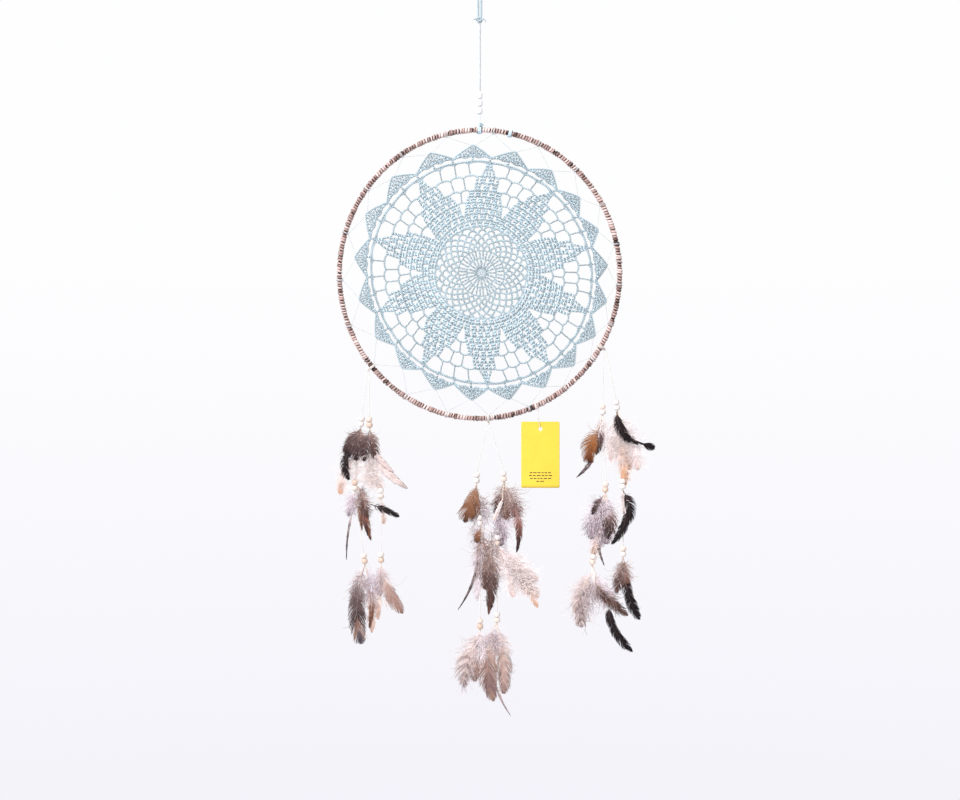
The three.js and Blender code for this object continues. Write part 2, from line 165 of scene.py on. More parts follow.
class Pile:
    """Points, faces and tints gathered into one mesh."""

    def __init__(self):
        self.points, self.tints, self.uvs, self.faces, self.count = [], [], [], {}, 0

    def add(self, points, faces, tint, uv=None):
        """Add points, arrays of faces that name them, and one tint or one for each point."""
        points = np.asarray(points, float).reshape(-1, 3)
        self.points.append(points)
        self.tints.append(np.broadcast_to(np.asarray(tint, float), points.shape))
        self.uvs.append(np.zeros((len(points), 2)) if uv is None else np.asarray(uv).reshape(-1, 2))
        for f in faces:
            self.faces.setdefault(f.shape[-1], []).append(f.reshape(-1, f.shape[-1]) + self.count)
        self.count += len(points)

    def object(self, name, material, flat=False):
        """The gathered mesh as a Blender object, smooth unless it is to be flat."""
        mesh = bpy.data.meshes.new(name)
        points = np.concatenate(self.points) * MM
        sets = [np.concatenate(f) for f in self.faces.values()]
        loops = np.concatenate([f.ravel() for f in sets])
        sizes = np.concatenate([np.full(len(f), f.shape[1]) for f in sets])
        mesh.vertices.add(len(points))
        mesh.vertices.foreach_set("co", points.ravel())
        mesh.loops.add(len(loops))
        mesh.loops.foreach_set("vertex_index", loops)
        mesh.polygons.add(len(sizes))
        mesh.polygons.foreach_set("loop_start", np.concatenate([[0], np.cumsum(sizes)[:-1]]))
        mesh.update(calc_edges=True)
        mesh.polygons.foreach_set("use_smooth", np.full(len(sizes), not flat))
        tint = mesh.color_attributes.new("tint", "FLOAT_COLOR", "POINT")
        tints = np.concatenate(self.tints)
        tint.data.foreach_set("color", np.concatenate([tints, np.ones((len(tints), 1))], 1).ravel())
        uv = mesh.uv_layers.new(name="UVMap")
        uv.data.foreach_set("uv", np.concatenate(self.uvs)[loops].ravel())
        mesh.materials.append(material)
        obj = bpy.data.objects.new(name, mesh)
        bpy.context.scene.collection.objects.link(obj)
        return obj


def skin(pile, paths, across, lift, radius, sides, tint, closed=False):
    """Round tubes along paths of shape (tubes, points, 3), with closed ends."""
    paths = np.asarray(paths, float)
    if paths.ndim == 2:
        paths, across, lift = paths[None], across[None], lift[None]
    tubes, n, _ = paths.shape
    radius = np.broadcast_to(np.asarray(radius, float), (tubes, n))
    angle = 2 * math.pi * np.arange(sides) / sides
    ring = across[:, :, None] * np.cos(angle)[:, None] + lift[:, :, None] * np.sin(angle)[:, None]
    points = paths[:, :, None] + radius[:, :, None, None] * ring
    index = np.arange(tubes * n * sides).reshape(tubes, n, sides)
    if closed:
        index = np.concatenate([index, index[:, :1]], 1)
    near, far = index[:, :-1], index[:, 1:]
    quads = np.stack([near, far, np.roll(far, -1, 2), np.roll(near, -1, 2)], -1)
    faces = [quads]
    if not closed:
        faces += [index[:, 0], index[:, -1, ::-1]]
    if np.ndim(tint) == 2 and len(tint) == tubes:
        tint = np.repeat(tint, n * sides, 0)
    elif np.ndim(tint) == 3:
        tint = np.repeat(np.asarray(tint).reshape(tubes * n, 3), sides, 0)
    pile.add(points, faces, tint)


def twisted(pile, path, radius, plies, pitch, tint, sides=6, steps=8, lay=0.5):
    """A laid cord of two or three plies along a path. radius is its own, or one for each point."""
    path = np.asarray(path, float)
    given = np.broadcast_to(np.asarray(radius, float), len(path))
    both, s = resample(np.concatenate([path, given[:, None]], 1), pitch / steps)
    path, r = both[:, :3], both[:, 3]
    _, side, lift = frames_along(path)
    share = {2: 0.5, 3: 0.536}[plies]
    turn = 2 * math.pi * (s / pitch + lay)
    tubes = []
    for k in range(plies):
        a = turn + 2 * math.pi * k / plies
        out = side * np.cos(a)[:, None] + lift * np.sin(a)[:, None]
        tubes.append(path + out * (r * share)[:, None])
    shades = np.asarray(tint, float) * (1 + 0.05 * np.cos(np.arange(plies) * 2.1))[:, None]
    shades = np.repeat(shades[:, None], len(path), 1)
    across, up, ply = (np.stack([v] * plies) for v in (-side, lift, r * (1 - share)))
    skin(pile, np.stack(tubes), across, up, ply, sides, shades)


def lathe(pile, centre, axis, profile, sides, tint):
    """A closed profile of (radius, height) turned about an axis in the X and Z plane."""
    axis = unit(axis)
    profile = np.asarray(profile, float)
    angle = 2 * math.pi * np.arange(sides) / sides
    ring = -FRONT * np.cos(angle)[:, None] - np.cross(axis, FRONT) * np.sin(angle)[:, None]
    points = np.asarray(centre, float) + profile[:, None, :1] * ring + profile[:, None, 1:] * axis
    n = len(profile)
    index = np.arange(n * sides).reshape(n, sides)
    near, far = index, np.roll(index, -1, 0)
    quads = np.stack([near, np.roll(near, -1, 1), np.roll(far, -1, 1), far], -1)
    if np.ndim(tint) == 2:
        tint = np.repeat(tint, sides, 0)
    pile.add(points, [quads], tint)


def place(obj, body, node):
    """Let a piece ride on a body and stand in for a CAD node."""
    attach(obj, body)
    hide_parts(node)


# ---- Materials ----


def add_node(tree, kind, **values):
    """A shader node with values on its sockets, whose names have spaces for underscores."""
    node = tree.nodes.new("ShaderNode" + kind)
    for name, value in values.items():
        node.inputs[name.replace("_", " ")].default_value = value
    return node


def material(name, grain=900.0, grain_depth=0.15, stretch=(1.0, 1.0, 1.0), use_uv=False,
             blotch=60.0, blotch_depth=0.1, rough=(0.6, 0.8), bump=0.3, bump_mm=0.1, sheen=0.0,
             coat=0.0, metal=0.0, specular=0.5, through=0.0):
    """The tint of each point, with fine grain, larger blotches and a bumped, uneven surface."""
    mat = bpy.data.materials.new(name)
    mat.use_nodes = True
    tree = mat.node_tree
    tree.nodes.clear()
    link = tree.links.new
    out = add_node(tree, "OutputMaterial")
    shader = add_node(tree, "BsdfPrincipled", Metallic=metal, Specular_IOR_Level=specular,
                      Sheen_Weight=sheen, Sheen_Roughness=0.4, Coat_Weight=coat,
                      Coat_Roughness=0.25)
    link(shader.outputs[0], out.inputs[0])

    where = add_node(tree, "TexCoord")
    scale = add_node(tree, "Mapping", Scale=stretch)
    link(where.outputs["UV" if use_uv else "Object"], scale.inputs[0])
    fine = add_node(tree, "TexNoise", Scale=grain, Detail=4)
    link(scale.outputs[0], fine.inputs["Vector"])
    wide = add_node(tree, "TexNoise", Scale=blotch, Detail=2)
    link(where.outputs["Object"], wide.inputs["Vector"])

    tint = add_node(tree, "VertexColor")
    tint.layer_name = "tint"
    colour = tint.outputs["Color"]
    for noise, depth in ((fine, grain_depth), (wide, blotch_depth)):
        mix = add_node(tree, "Mix")
        mix.data_type = "RGBA"
        mix.blend_type = "MULTIPLY"
        mix.inputs["Factor"].default_value = 1
        spread = add_node(tree, "MapRange", From_Min=0.3, From_Max=0.7, To_Min=1 - depth,
                          To_Max=1 + depth * 0.6)
        link(noise.outputs["Fac"], spread.inputs["Value"])
        link(colour, mix.inputs["A"])
        link(spread.outputs[0], mix.inputs["B"])
        colour = mix.outputs["Result"]
    link(colour, shader.inputs["Base Color"])
    if through:
        glow = add_node(tree, "BsdfTranslucent")
        link(colour, glow.inputs["Color"])
        both = add_node(tree, "MixShader")
        both.inputs[0].default_value = through
        link(shader.outputs[0], both.inputs[1])
        link(glow.outputs[0], both.inputs[2])
        link(both.outputs[0], out.inputs[0])

    uneven = add_node(tree, "MapRange", To_Min=rough[0], To_Max=rough[1])
    link(fine.outputs["Fac"], uneven.inputs["Value"])
    link(uneven.outputs[0], shader.inputs["Roughness"])
    relief = add_node(tree, "Bump", Strength=bump, Distance=bump_mm * MM)
    link(fine.outputs["Fac"], relief.inputs["Height"])
    link(relief.outputs[0], shader.inputs["Normal"])
    return mat


blue_yarn = material("blue_yarn", grain=2200, grain_depth=0.16, blotch=35, blotch_depth=0.06,
                     rough=(0.75, 0.95), bump=0.5, bump_mm=0.12, sheen=0.25, specular=0.25)
lacing_mat, thread_mat = [
    material(name, grain=2600, grain_depth=0.14, rough=(0.6, 0.8), bump=0.4, bump_mm=0.08,
             sheen=0.15, specular=0.3) for name in ("lacing", "thread")
]
bark_mat = material("bark", grain=1, stretch=(160, 3200, 1), use_uv=True, grain_depth=0.4,
                    blotch=90, blotch_depth=0.25, rough=(0.5, 0.85), bump=0.7, bump_mm=0.25,
                    specular=0.4)
steel_mat = material("steel", grain=500, grain_depth=0.2, rough=(0.3, 0.55), bump=0.2, metal=1.0)
white_bead_mat = material("white_bead", grain=700, grain_depth=0.04, blotch=120,
                          blotch_depth=0.04, rough=(0.28, 0.4), bump=0.15, coat=0.3)
wood_bead_mat = material("wood_bead", grain=420, stretch=(1, 1, 0.25), grain_depth=0.16,
                         blotch=110, blotch_depth=0.08, rough=(0.4, 0.58), bump=0.25, coat=0.12)
feather_mat = material("feather", grain=1500, grain_depth=0.16, blotch=150, blotch_depth=0.12,
                       rough=(0.5, 0.75), bump=0.3, bump_mm=0.06, sheen=0.03, specular=0.18,
                       through=0.35)
card_mat = material("card", grain=1200, grain_depth=0.05, blotch=40, blotch_depth=0.04,
                    rough=(0.5, 0.65), bump=0.25, bump_mm=0.05, specular=0.35)

# The colours of the cords and of the painted beads
BLUE = linear(191, 210, 219)
PALE_BLUE = linear(186, 190, 192)
LOOP_BLUE = linear(158, 172, 178)
THREAD = linear(206, 200, 194)
WHITE_BEAD = linear(206, 206, 208)


# ---- Camera: level and square on, with the top of the loop above the picture ----

CAMERA_PLACE = (0.0006, -1.632, -0.519)  # metres

camera_data = bpy.data.cameras.new("camera")
camera_data.lens = 50
camera_data.sensor_width = 36
camera = bpy.data.objects.new("camera", camera_data)
camera.location = CAMERA_PLACE
camera.rotation_euler = (math.pi / 2, 0, 0)
bpy.context.scene.collection.objects.link(camera)
bpy.context.scene.camera = camera


# ---- Hoop geometry ----


def rod_point(degrees):
    a = math.radians(degrees)
    return vec(HALF_WIDTH * math.cos(a), HOOP_Z + HALF_HEIGHT * math.sin(a))


def rod_along(degrees):
    a = math.radians(degrees)
    return unit(vec(-HALF_WIDTH * math.sin(a), HALF_HEIGHT * math.cos(a)))


def rod_outward(degrees):
    along = rod_along(degrees)
    return vec(along[2], -along[0])


def winding(pile, degrees, length, cord_r, turns, tint, radius=4.25, shift=0.0, plies=2):
    """A cord wound round the hoop's rod at an angle."""
    centre, along, out = rod_point(degrees), rod_along(degrees), rod_outward(degrees)
    t = np.linspace(0, 1, int(turns * 26))[:, None]
    a = 2 * math.pi * turns * t
    path = centre + along * ((t - 0.5) * length + shift)
    path = path + radius * (np.cos(a) * out - np.sin(a) * FRONT)
    twisted(pile, path, cord_r, plies, 4.6 * cord_r, tint, steps=6)


def knot(pile, centre, size, cord_r, tint, tilt=0.0, plies=2):
    """An overhand knot pulled tight: a small trefoil of cord."""
    t = np.linspace(0, 2 * math.pi, 90)
    x = (np.sin(t) + 2 * np.sin(2 * t)) / 3
    z = (np.cos(t) - 2 * np.cos(2 * t)) / 3
    y = -np.sin(3 * t) * 0.45
    c, s = math.cos(tilt), math.sin(tilt)
    path = np.stack([c * x + s * z, y, c * z - s * x], -1) * size + np.asarray(centre)
    twisted(pile, path, cord_r, plies, 5 * cord_r, tint, steps=6)


# ---- Hanger: loop, knot, cord, beads, hitch ----

# The route of one leg, from the knot up to the top, as in the CAD model
side_route = [(1.9, -48.05), (1.9, -40.05), (2.1, -30.0), (5.0, -18.0), (5.8, -8.0), (3.48, -0.6)]
loop_route = catmull(
    [vec(x, z) for x, z in side_route] + [vec(0, 1.6)] + [vec(-x, z) for x, z in side_route[::-1]],
    10,
)
loop_route = np.concatenate([[vec(1.6, -51.5)], loop_route, [vec(-1.6, -51.5)]])
pile = Pile()
twisted(pile, loop_route, 1.6, 3, 8.0, LOOP_BLUE, steps=10)
hanger_loop = pile.object("loop_cord", blue_yarn)

pile = Pile()
knot(pile, (0, 0, KNOT_Z), 3.5, 1.45, LOOP_BLUE, plies=3)
knot(pile, (0, 0.4, KNOT_Z + 0.6), 3.0, 1.4, LOOP_BLUE, tilt=1.0, plies=3)
for side in (-1, 1):
    tail = catmull([(side * 2, -1, KNOT_Z), (side * 5.5, -2, KNOT_Z + 0.8),
                    (side * 7.6, -2.4, KNOT_Z - 1.6 - side * 1.4)], 10)
    twisted(pile, tail, np.linspace(1.15, 0.8, len(tail)), 3, 6.0, LOOP_BLUE)
hanger_knot = pile.object("knot_cord", blue_yarn)

cord_route = np.stack([vec(0, z) for z in np.linspace(KNOT_Z - 3.0, -169.0, 60)])
cord_radius = np.interp(-cord_route[:, 2], [0, 139, 142, 200], [1.75, 1.75, 1.1, 1.1])
pile = Pile()
twisted(pile, cord_route, cord_radius, 3, 8.5, PALE_BLUE, steps=10)
hanger_cord = pile.object("hanger_twist", blue_yarn)


def bead_profile(radius, height, bore, waist, power=2.4):
    """Half of a drilled bead's outline, with eased rims at its bore.

    waist is its radius at the ends, as a share of its own, and power makes it fuller."""
    z = -np.cos(np.linspace(0, math.pi, 15)) * height / 2
    swell = np.maximum(0, 1 - np.abs(2 * z / height) ** power) ** (1 / power)
    outside = waist * radius + (1 - waist) * radius * swell
    rim = [(bore, height / 2 - 0.35), (bore, 0.0), (bore, -height / 2 + 0.35)]
    return [*zip(outside, z), (bore + 0.25, height / 2), *rim, (bore + 0.25, -height / 2)]


for which, z, lean in zip(("top", "middle", "bottom"), BEADS_Z, (0.03, -0.02, 0.025)):
    pile = Pile()
    profile = bead_profile(*HANGER_BEAD, 0.45)
    lathe(pile, (0, 0, z), (lean, 0, 1), profile, 32, WHITE_BEAD)
    bead = pile.object(f"white_bead_{which}", white_bead_mat)
    place(bead, "cord", f"hanger_bead_{which}")

place(hanger_loop, "hanger", "hanger_loop")
place(hanger_knot, "hanger", "hanger_knot")
place(hanger_cord, "cord", "hanger_cord")

pile = Pile()
winding(pile, 90, 5.2, 0.95, 3.5, BLUE, 4.35, plies=3)
neck = np.stack([vec(0, z, y) for z, y in ((-169.5, 0), (-174, 0.1), (-179, -0.4), (-184.3, -3.4))])
twisted(pile, catmull(neck), 1.1, 3, 6.0, BLUE)
neck[:, 1] *= -1
twisted(pile, catmull(neck), 1.05, 3, 6.0, BLUE, lay=0.2)
twisted(pile, [vec(x, z, y) for x, z, y in ((-2.2, -182.6, -1.4), (0, -182.0, -2.3),
                                            (2.2, -182.4, -1.3))], 0.8, 3, 5.0, BLUE)
knot(pile, (2.0, -3.4, -183.2), 2.5, 0.95, LOOP_BLUE, tilt=0.5, plies=3)
place(pile.object("hanger_hitch_cord", blue_yarn), "hitch", "hanger_hitch")


# ---- Tassel hitches, threads and beads ----


def strand_layout(side, strand):
    """Knot, bead centres, bead directions and the thread's points, as in the CAD model."""
    degrees, strands = TASSELS[side]
    knot_at = rod_point(degrees) + rod_outward(degrees) * 6.2
    lean = -1 if strand == "a" else 1
    start = vec(lean * 1.5, -2.65)
    centres = [vec(x, z) for x, z in strands[strand]]
    stops = [start] + centres
    axes = []
    for i, centre in enumerate(centres):
        axis = unit(stops[i] - centre)
        if i < 2:
            axis = unit(axis + unit(centre - centres[i + 1]))
        axes.append(axis)
    route = [start]
    for i, centre in enumerate(centres):
        route.append(centre + axes[i] * (PAIR_HALF + PAIR_GAP))
        if i < 2:
            route += [centre, centre - axes[i] * (PAIR_HALF + PAIR_GAP)]
    return knot_at, [c + knot_at for c in centres], axes, catmull(route, 14) + knot_at


LAYOUT = {(side, s): strand_layout(side, s) for side in TASSELS for s in "ab"}
WOOD = ((204, 196, 192), (198, 180, 168), (204, 190, 181), (190, 166, 150))
WOOD_SHARES = (0.35, 0.3, 0.2, 0.15)
bead_rng = np.random.default_rng(11)

for side, (degrees, _) in TASSELS.items():
    knot_at = LAYOUT[side, "a"][0]
    pile = Pile()
    winding(pile, degrees, 3.0, 0.62, 3.3, THREAD, 4.1)
    winding(pile, degrees, 2.2, 0.55, 2.2, THREAD, 4.55, 0.2)
    knot(pile, knot_at, 1.35, 0.6, THREAD)
    knot(pile, knot_at, 1.2, 0.6, THREAD, tilt=0.9)
    place(pile.object(f"tie_{side}", thread_mat), "hoop", f"hitch_{side}")

for (side, s), (knot_at, centres, axes, route) in LAYOUT.items():
    name = f"{side}_{s}"
    pile = Pile()
    twisted(pile, route, THREAD_R, 2, 3.0, THREAD, sides=5, steps=6)
    obj = pile.object(f"{name}_twine", thread_mat)
    place(obj, f"strand_{name}", f"{name}_thread")

    for i, level in enumerate(LEVELS):
        pile = Pile()
        for half in (1, -1):
            tint = linear(*WOOD[bead_rng.choice(4, p=WOOD_SHARES)])
            axis = unit(axes[i] + vec(bead_rng.normal(0, 0.05), 0))
            size = bead_rng.uniform(0.93, 1.0)
            profile = bead_profile(BEAD[0] * size, *BEAD[1:], 0.42, 2.1)
            wave = np.sin(np.arange(len(profile)) * 1.9 + bead_rng.uniform(0, 6))
            grain = tint * (1 + 0.06 * wave)[:, None]
            lathe(pile, centres[i] + axes[i] * 3.3 * half, axis, profile, 28, grain)
        obj = pile.object(f"{name}_wood_{level}", wood_bead_mat)
        body = f"end_{name}" if level == "low" else f"strand_{name}"
        place(obj, body, f"{name}_beads_{level}")


# ---- Hoop wrap ----

# The strip's colours, from its darkest patches to its palest turns
BARK = [(0, (52, 34, 32)), (0.2, (104, 78, 72)), (0.42, (152, 124, 118)), (0.7, (182, 154, 149)),
        (1, (216, 194, 190))]


def make_wrap():
    """One strip wound round the hoop, uneven in width, height and colour from turn to turn."""
    rng = np.random.default_rng(3)
    turns, per_turn = 322, 14
    n = turns * per_turn
    t = np.arange(n + 1) / n
    joint = math.radians(WRAP_JOINT)
    a = math.pi / 2 + joint + t * (2 * math.pi - 2 * joint)
    wiggle = np.interp(t * turns, np.arange(turns + 1), rng.normal(0, 0.35, turns + 1))
    a = a + wiggle * 2 * math.pi / turns * 0.35 * np.sin(math.pi * t) ** 0.1
    spin = 2 * math.pi * turns * t
    centre = np.stack([HALF_WIDTH * np.cos(a), 0 * a, HOOP_Z + HALF_HEIGHT * np.sin(a)], -1)
    along = unit(np.stack([-HALF_WIDTH * np.sin(a), 0 * a, HALF_HEIGHT * np.cos(a)], -1))
    out = np.stack([along[:, 2], 0 * a, -along[:, 0]], -1)
    radial = out * np.cos(spin)[:, None] + FRONT * np.sin(spin)[:, None]
    turn_at = t * turns

    def varied(spread, seed):
        r = np.random.default_rng(seed)
        coarse = np.interp(turn_at, np.arange(turns + 1), r.normal(0, spread, turns + 1))
        quarters = r.normal(0, spread * 0.5, turns * 4)
        return coarse + np.interp(turn_at, np.linspace(0, turns, turns * 4), quarters)

    width = 3.35 * np.clip(1 + varied(0.16, 5), 0.6, 1.35)
    height = 1.05 * np.clip(1 + varied(0.28, 6), 0.35, 1.8)
    skew = varied(0.22, 8)
    # The strip's cross-section: places across its width, and its height at each
    section_at = np.array([-0.5, -0.36, -0.12, 0.14, 0.38, 0.5])
    section_up = np.array([-0.3, 0.55, 1.0, 0.97, 0.5, -0.3])
    base = WRAP_R - 0.95
    crown = np.minimum(base + height, WRAP_R + 0.7) - base
    rise = base + crown[:, None] * (section_up * (1 + skew[:, None] * section_at))
    points = centre[:, None] + along[:, None] * (section_at[None, :, None] * width[:, None, None])
    points = points + radial[:, None] * rise[..., None]
    drift = np.sin(t * 39 + 1) * np.sin(t * 97) * 0.13
    tone = np.clip(0.62 + drift + varied(0.27, 9), 0, 1)
    # Painted shade: each turn's tint falls to an eighth at both edges of the strip, where it meets
    # the next turn, and is fullest on its crown
    edge = np.array([0.12, 0.5, 1.0, 1.05, 0.62, 0.12])
    tint = ramp(tone, BARK)[:, None] * edge[None, :, None]
    length = t * turns * 2 * math.pi * WRAP_R * MM
    uv = np.stack(np.broadcast_arrays(length[:, None], section_at[None] * width[:, None] * MM), -1)
    index = np.arange((n + 1) * 6).reshape(n + 1, 6)
    near, far = index[:-1], index[1:]
    quads = np.stack([near, np.roll(near, -1, 1), np.roll(far, -1, 1), far], -1)
    pile = Pile()
    pile.add(points, [quads, index[:1, ::-1], index[-1:]], tint.reshape(-1, 3), uv)
    return pile.object("bark_wrap", bark_mat)


place(make_wrap(), "hoop", "hoop_wrap")

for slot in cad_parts["hoop_core"].material_slots:
    slot.material = steel_mat


# ---- Doily ----


def lace(theta, r):
    """Points of the doily's face, with angles in degrees, pulled out of round by the lacing."""
    theta = np.radians(np.asarray(theta, float))
    r = np.asarray(r, float)
    pull = (r / TIP_R) ** 2
    angle = theta - math.radians(TIP_SHIFT) * pull * np.cos(theta - math.radians(CROWDED_SIDE))
    reach = r + TIP_PULL * pull * np.cos(2 * (angle - math.radians(PULL_DIAGONAL)))
    uneven = np.minimum(1, r / 40) * (1 - pull**3)
    x = DOILY[0] + reach * np.cos(angle) + uneven * 0.8 * np.sin(r / 9 + 5 * angle)
    z = DOILY[1] + reach * np.sin(angle) + uneven * 0.8 * np.sin(r / 11 - 4 * angle + 2)
    return np.stack([x, np.zeros_like(x), z], -1)


YARN_SIDES = 5
lace_rng = np.random.default_rng(21)


def flat_strands(pile, path, spread, depth, radius, pitch, steps, count, edge, closed=False):
    """Yarn strands crossing over each other along a path that lies in the doily's face.

    Their tints carry painted shade: darker by up to edge where they turn over at the path's edges,
    and down their own sides."""
    path, s = resample(path, pitch / steps)
    if closed:
        pitch = s[-1] / max(1, round(s[-1] / pitch))
        path, s = path[:-1], s[:-1]
        along = unit(np.roll(path, -1, 0) - np.roll(path, 1, 0))
    else:
        along = unit(np.gradient(path, axis=0))
    across = np.cross(along, FRONT)
    turn = 2 * math.pi * s / pitch + lace_rng.uniform(0, 6.28)
    strands, light = [], []
    for k in range(count):
        a = turn + 2 * math.pi * k / count
        # Painted shade: a strand's tint is darker by up to edge where it lies at the side of the
        # path
        light.append(1 - edge * np.abs(np.sin(a)) ** 2.5)
        sideways = across * (spread * np.sin(a))[:, None]
        strands.append(path + sideways + FRONT * (depth * np.cos(a))[:, None])
    lift = np.broadcast_to(FRONT, path.shape)
    shade = BLUE * (1 + lace_rng.normal(0, 0.06))
    skin(pile, np.stack(strands), np.stack([-across] * count), np.stack([lift] * count), radius,
         YARN_SIDES, shade, closed)
    # Painted shade: each tube's tint falls to 0.12 down the sides that lie along the doily's face,
    # and stays full on the sides towards front and back
    angle = 2 * math.pi * np.arange(YARN_SIDES) / YARN_SIDES
    facing = 0.12 + 0.88 * np.abs(np.sin(angle)) ** 0.8
    pile.tints[-1] = pile.tints[-1] * (np.stack(light)[..., None] * facing).reshape(-1, 1)


def chain(pile, theta, r, closed=False, scale=1.0):
    """A row of chain stitches."""
    path = lace(theta, r)
    path[:, 1] += lace_rng.normal(0, 0.15)
    # 0.45: the depth of the painted shade where the strands turn over at the chain's sides
    flat_strands(pile, path, 0.55 * scale, 0.42 * scale, 0.56 * scale, 4.4, 5, 2, 0.45, closed)


def post(pile, theta0, r0, theta1, r1, wide, wraps, first=0.6):
    """A tall crochet stitch: three plaited strands with yarn wrapped slantwise round them."""
    size = wide / 4.4
    t = np.linspace(0, 1, 8)
    path = lace(theta0 + (theta1 - theta0) * t, r0 + (r1 - r0) * t)
    path[:, 1] += lace_rng.normal(0, 0.12)
    # 0.85: deep painted shade where the strands turn over at the post's sides
    flat_strands(pile, path, 1.15 * size, 0.5 * size, 0.78 * size, 6.2, 4, 3, 0.85)
    along = unit(path[-1] - path[0])
    across = np.cross(along, FRONT)
    a = 2 * math.pi * np.arange(9)[:, None] / 9
    ring = 1.85 * size * np.cos(a) * across + 1.2 * size * np.sin(a) * FRONT
    ring = ring + along * (0.9 * size * np.cos(a))
    way = unit(np.roll(ring, -1, 0) - np.roll(ring, 1, 0))
    outward = unit(ring - way * np.sum(ring * way, 1)[:, None])
    # Painted shade: each wrap's tint is darker where it passes round the post's sides than where it
    # crosses the front and back
    facing = np.repeat(0.6 + 0.45 * np.abs(np.sin(a)), 4, 0)
    for k in range(wraps):
        middle = path[0] + (path[-1] - path[0]) * ((k + first) / (wraps + 0.2))
        shade = BLUE * (1 + lace_rng.normal(0, 0.06))
        skin(pile, middle + ring, -outward, np.cross(way, -outward), 0.56 * size, 4, shade, True)
        pile.tints[-1] = pile.tints[-1] * facing


MOTIF_STEP = 36
MOTIFS = [89.1 - MOTIF_STEP * k for k in range(10)]


def turn_of(offset, r):
    """The angle that an offset sideways makes at a radius."""
    return np.degrees(np.asarray(offset) / r)


def scallop(t):
    """A flat-topped arch from t = 0 to t = 1."""
    return 1 - np.abs(2 * t - 1) ** 2.4


def make_middle():
    """The star at the centre and the fine net round it."""
    pile = Pile()
    around = np.linspace(0, 360, 241)
    for r in (2.0, 4.4):
        chain(pile, around, r, True)
    for k in range(20):
        a = k * 18 + lace_rng.normal(0, 1)
        post(pile, a, 5.4, a, 17, 2.8 + 0.5 * (k % 2), 2, 0.5 + 0.5 * (k % 2))
    chain(pile, around, 17.6, True)
    for k in range(36):
        a = k * 10 + 5 + lace_rng.normal(0, 0.8)
        post(pile, a, 18, a, 27.4, 2.9, 2, 0.4 + 0.5 * (k % 2))
    chain(pile, around, 28.0, True)
    t = np.linspace(0, 1, 20)
    net_step = 360 / 26
    for i in range(6):
        low, high = 28.4 + 4.7 * i, 33.6 + 4.7 * i
        for k in range(26):
            a = net_step * (k + 0.5 * (i % 2)) + lace_rng.normal(0, 0.7)
            top = high + lace_rng.normal(0, 0.4)
            chain(pile, a + net_step * t, low + (top - low) * scallop(t), scale=1.35)
    chain(pile, around, 56.6, True, 1.15)
    return pile.object("doily_middle", blue_yarn)


# Rows of the ten blocks: inner and outer radius, half width at each, posts
BLOCK_ROWS = (
    (57.0, 72.0, 16.8, 21.0, 9),
    (72.0, 86.5, 20.2, 20.6, 10),
    (86.5, 101.5, 19.8, 18.8, 9),
    (101.5, 118.0, 13.2, 12.0, 6),
    (118.0, 134.0, 7.0, 1.2, 4),
)


def make_blocks(motifs, name):
    """Pointed blocks of close posts, with rows of open cells filling in between them."""
    pile = Pile()
    t = np.linspace(0, 1, 16)
    edge = np.linspace(-1, 1, 25)
    for axis in motifs:
        cells = None
        drift = lace_rng.normal(0, 0.5)
        for row, (low, high, below, above, posts) in enumerate(BLOCK_ROWS):
            middle, between = low + (high - low) / 2, below + (above - below) / 2
            halves = ((low, middle, below, between), (middle, high, between, above))
            for half, (r0, r1, w0, w1) in enumerate(halves):
                for i, top in enumerate(np.linspace(-1, 1, posts + (row < 3))):
                    # Two stitches share a foot, and the pairs change places from row to row
                    lean = 0.62 if (i + half + row) % 2 else -0.62
                    foot = np.clip(top + lean / posts, -1, 1)
                    shift = drift + lace_rng.normal(0, 0.25)
                    start = axis + turn_of(foot * w0 + shift, r0)
                    end = axis + turn_of(top * w1 + shift, r1)
                    wide = lace_rng.uniform(4.0, 4.5) if row < 4 else 3.3
                    post(pile, start, r0, end, r1 - 0.3, wide, 2, 0.4)
                if not half:
                    chain(pile, axis + turn_of(edge * w1 + drift, r1), r1, scale=0.95)
            chain(pile, axis + turn_of(edge * above, high), high, scale=1.15)
            # The cells run clockwise from this block's edge to the next block's
            start = axis - turn_of(above, high)
            end = axis - MOTIF_STEP + turn_of(above, high)
            if row == 1:
                cells = [start, end]
            elif row > 1:
                inner = [(a + b) / 2 for a, b in zip(cells[:-1], cells[1:])]
                for i, a in enumerate(inner):
                    inner[i] = a + lace_rng.normal(0, 0.35)
                    post(pile, a, low, inner[i], high - 0.8, 2.3, 0)
                cells = [start] + inner + [end]
            if row:
                for a, b in zip(cells[:-1], cells[1:]):
                    chain(pile, a + (b - a) * t, high + 2.6 * scallop(t) - 1.4, scale=1.25)
    return pile.object(name, blue_yarn)


def make_edging():
    """A ring of chain, a row of long eyelets, and a zigzag of filled points round the rim."""
    pile = Pile()
    around = np.linspace(0, 360, 361)
    chain(pile, around, 135.4 + 0.5 * np.sin(np.radians(around * 20)), True, 1.35)
    t = np.linspace(-1, 1, 41)
    for k in range(20):
        axis = FIRST_TIP - TIP_STEP * k
        chain(pile, axis + turn_of(t * 22.0, 140), 141.4 + 1.1 * np.cos(t * 3 * math.pi), scale=1.2)
        for i, u in enumerate(np.linspace(-1, 1, 15)):
            top = 141.5 + 13.6 * (1 - abs(u))
            start, end = axis + turn_of(u * 14.5, 141), axis + turn_of(u * 21.0, top)
            wraps = 2 if abs(u) < 0.5 else 1
            post(pile, start, 141.6, end, top, 3.2, wraps, 0.35 + 0.5 * (i % 2))
        top = 141.5 + 14.2 * (1 - np.abs(t) ** 1.1)
        chain(pile, axis + turn_of(t * 21.6, top), top, scale=1.2)
        for eyelet in (0, TIP_STEP / 2):
            a = axis + eyelet + lace_rng.normal(0, 0.4)
            post(pile, a, 135.6, a, 141.6, 3.4, 1)
    return pile.object("doily_edging", blue_yarn)


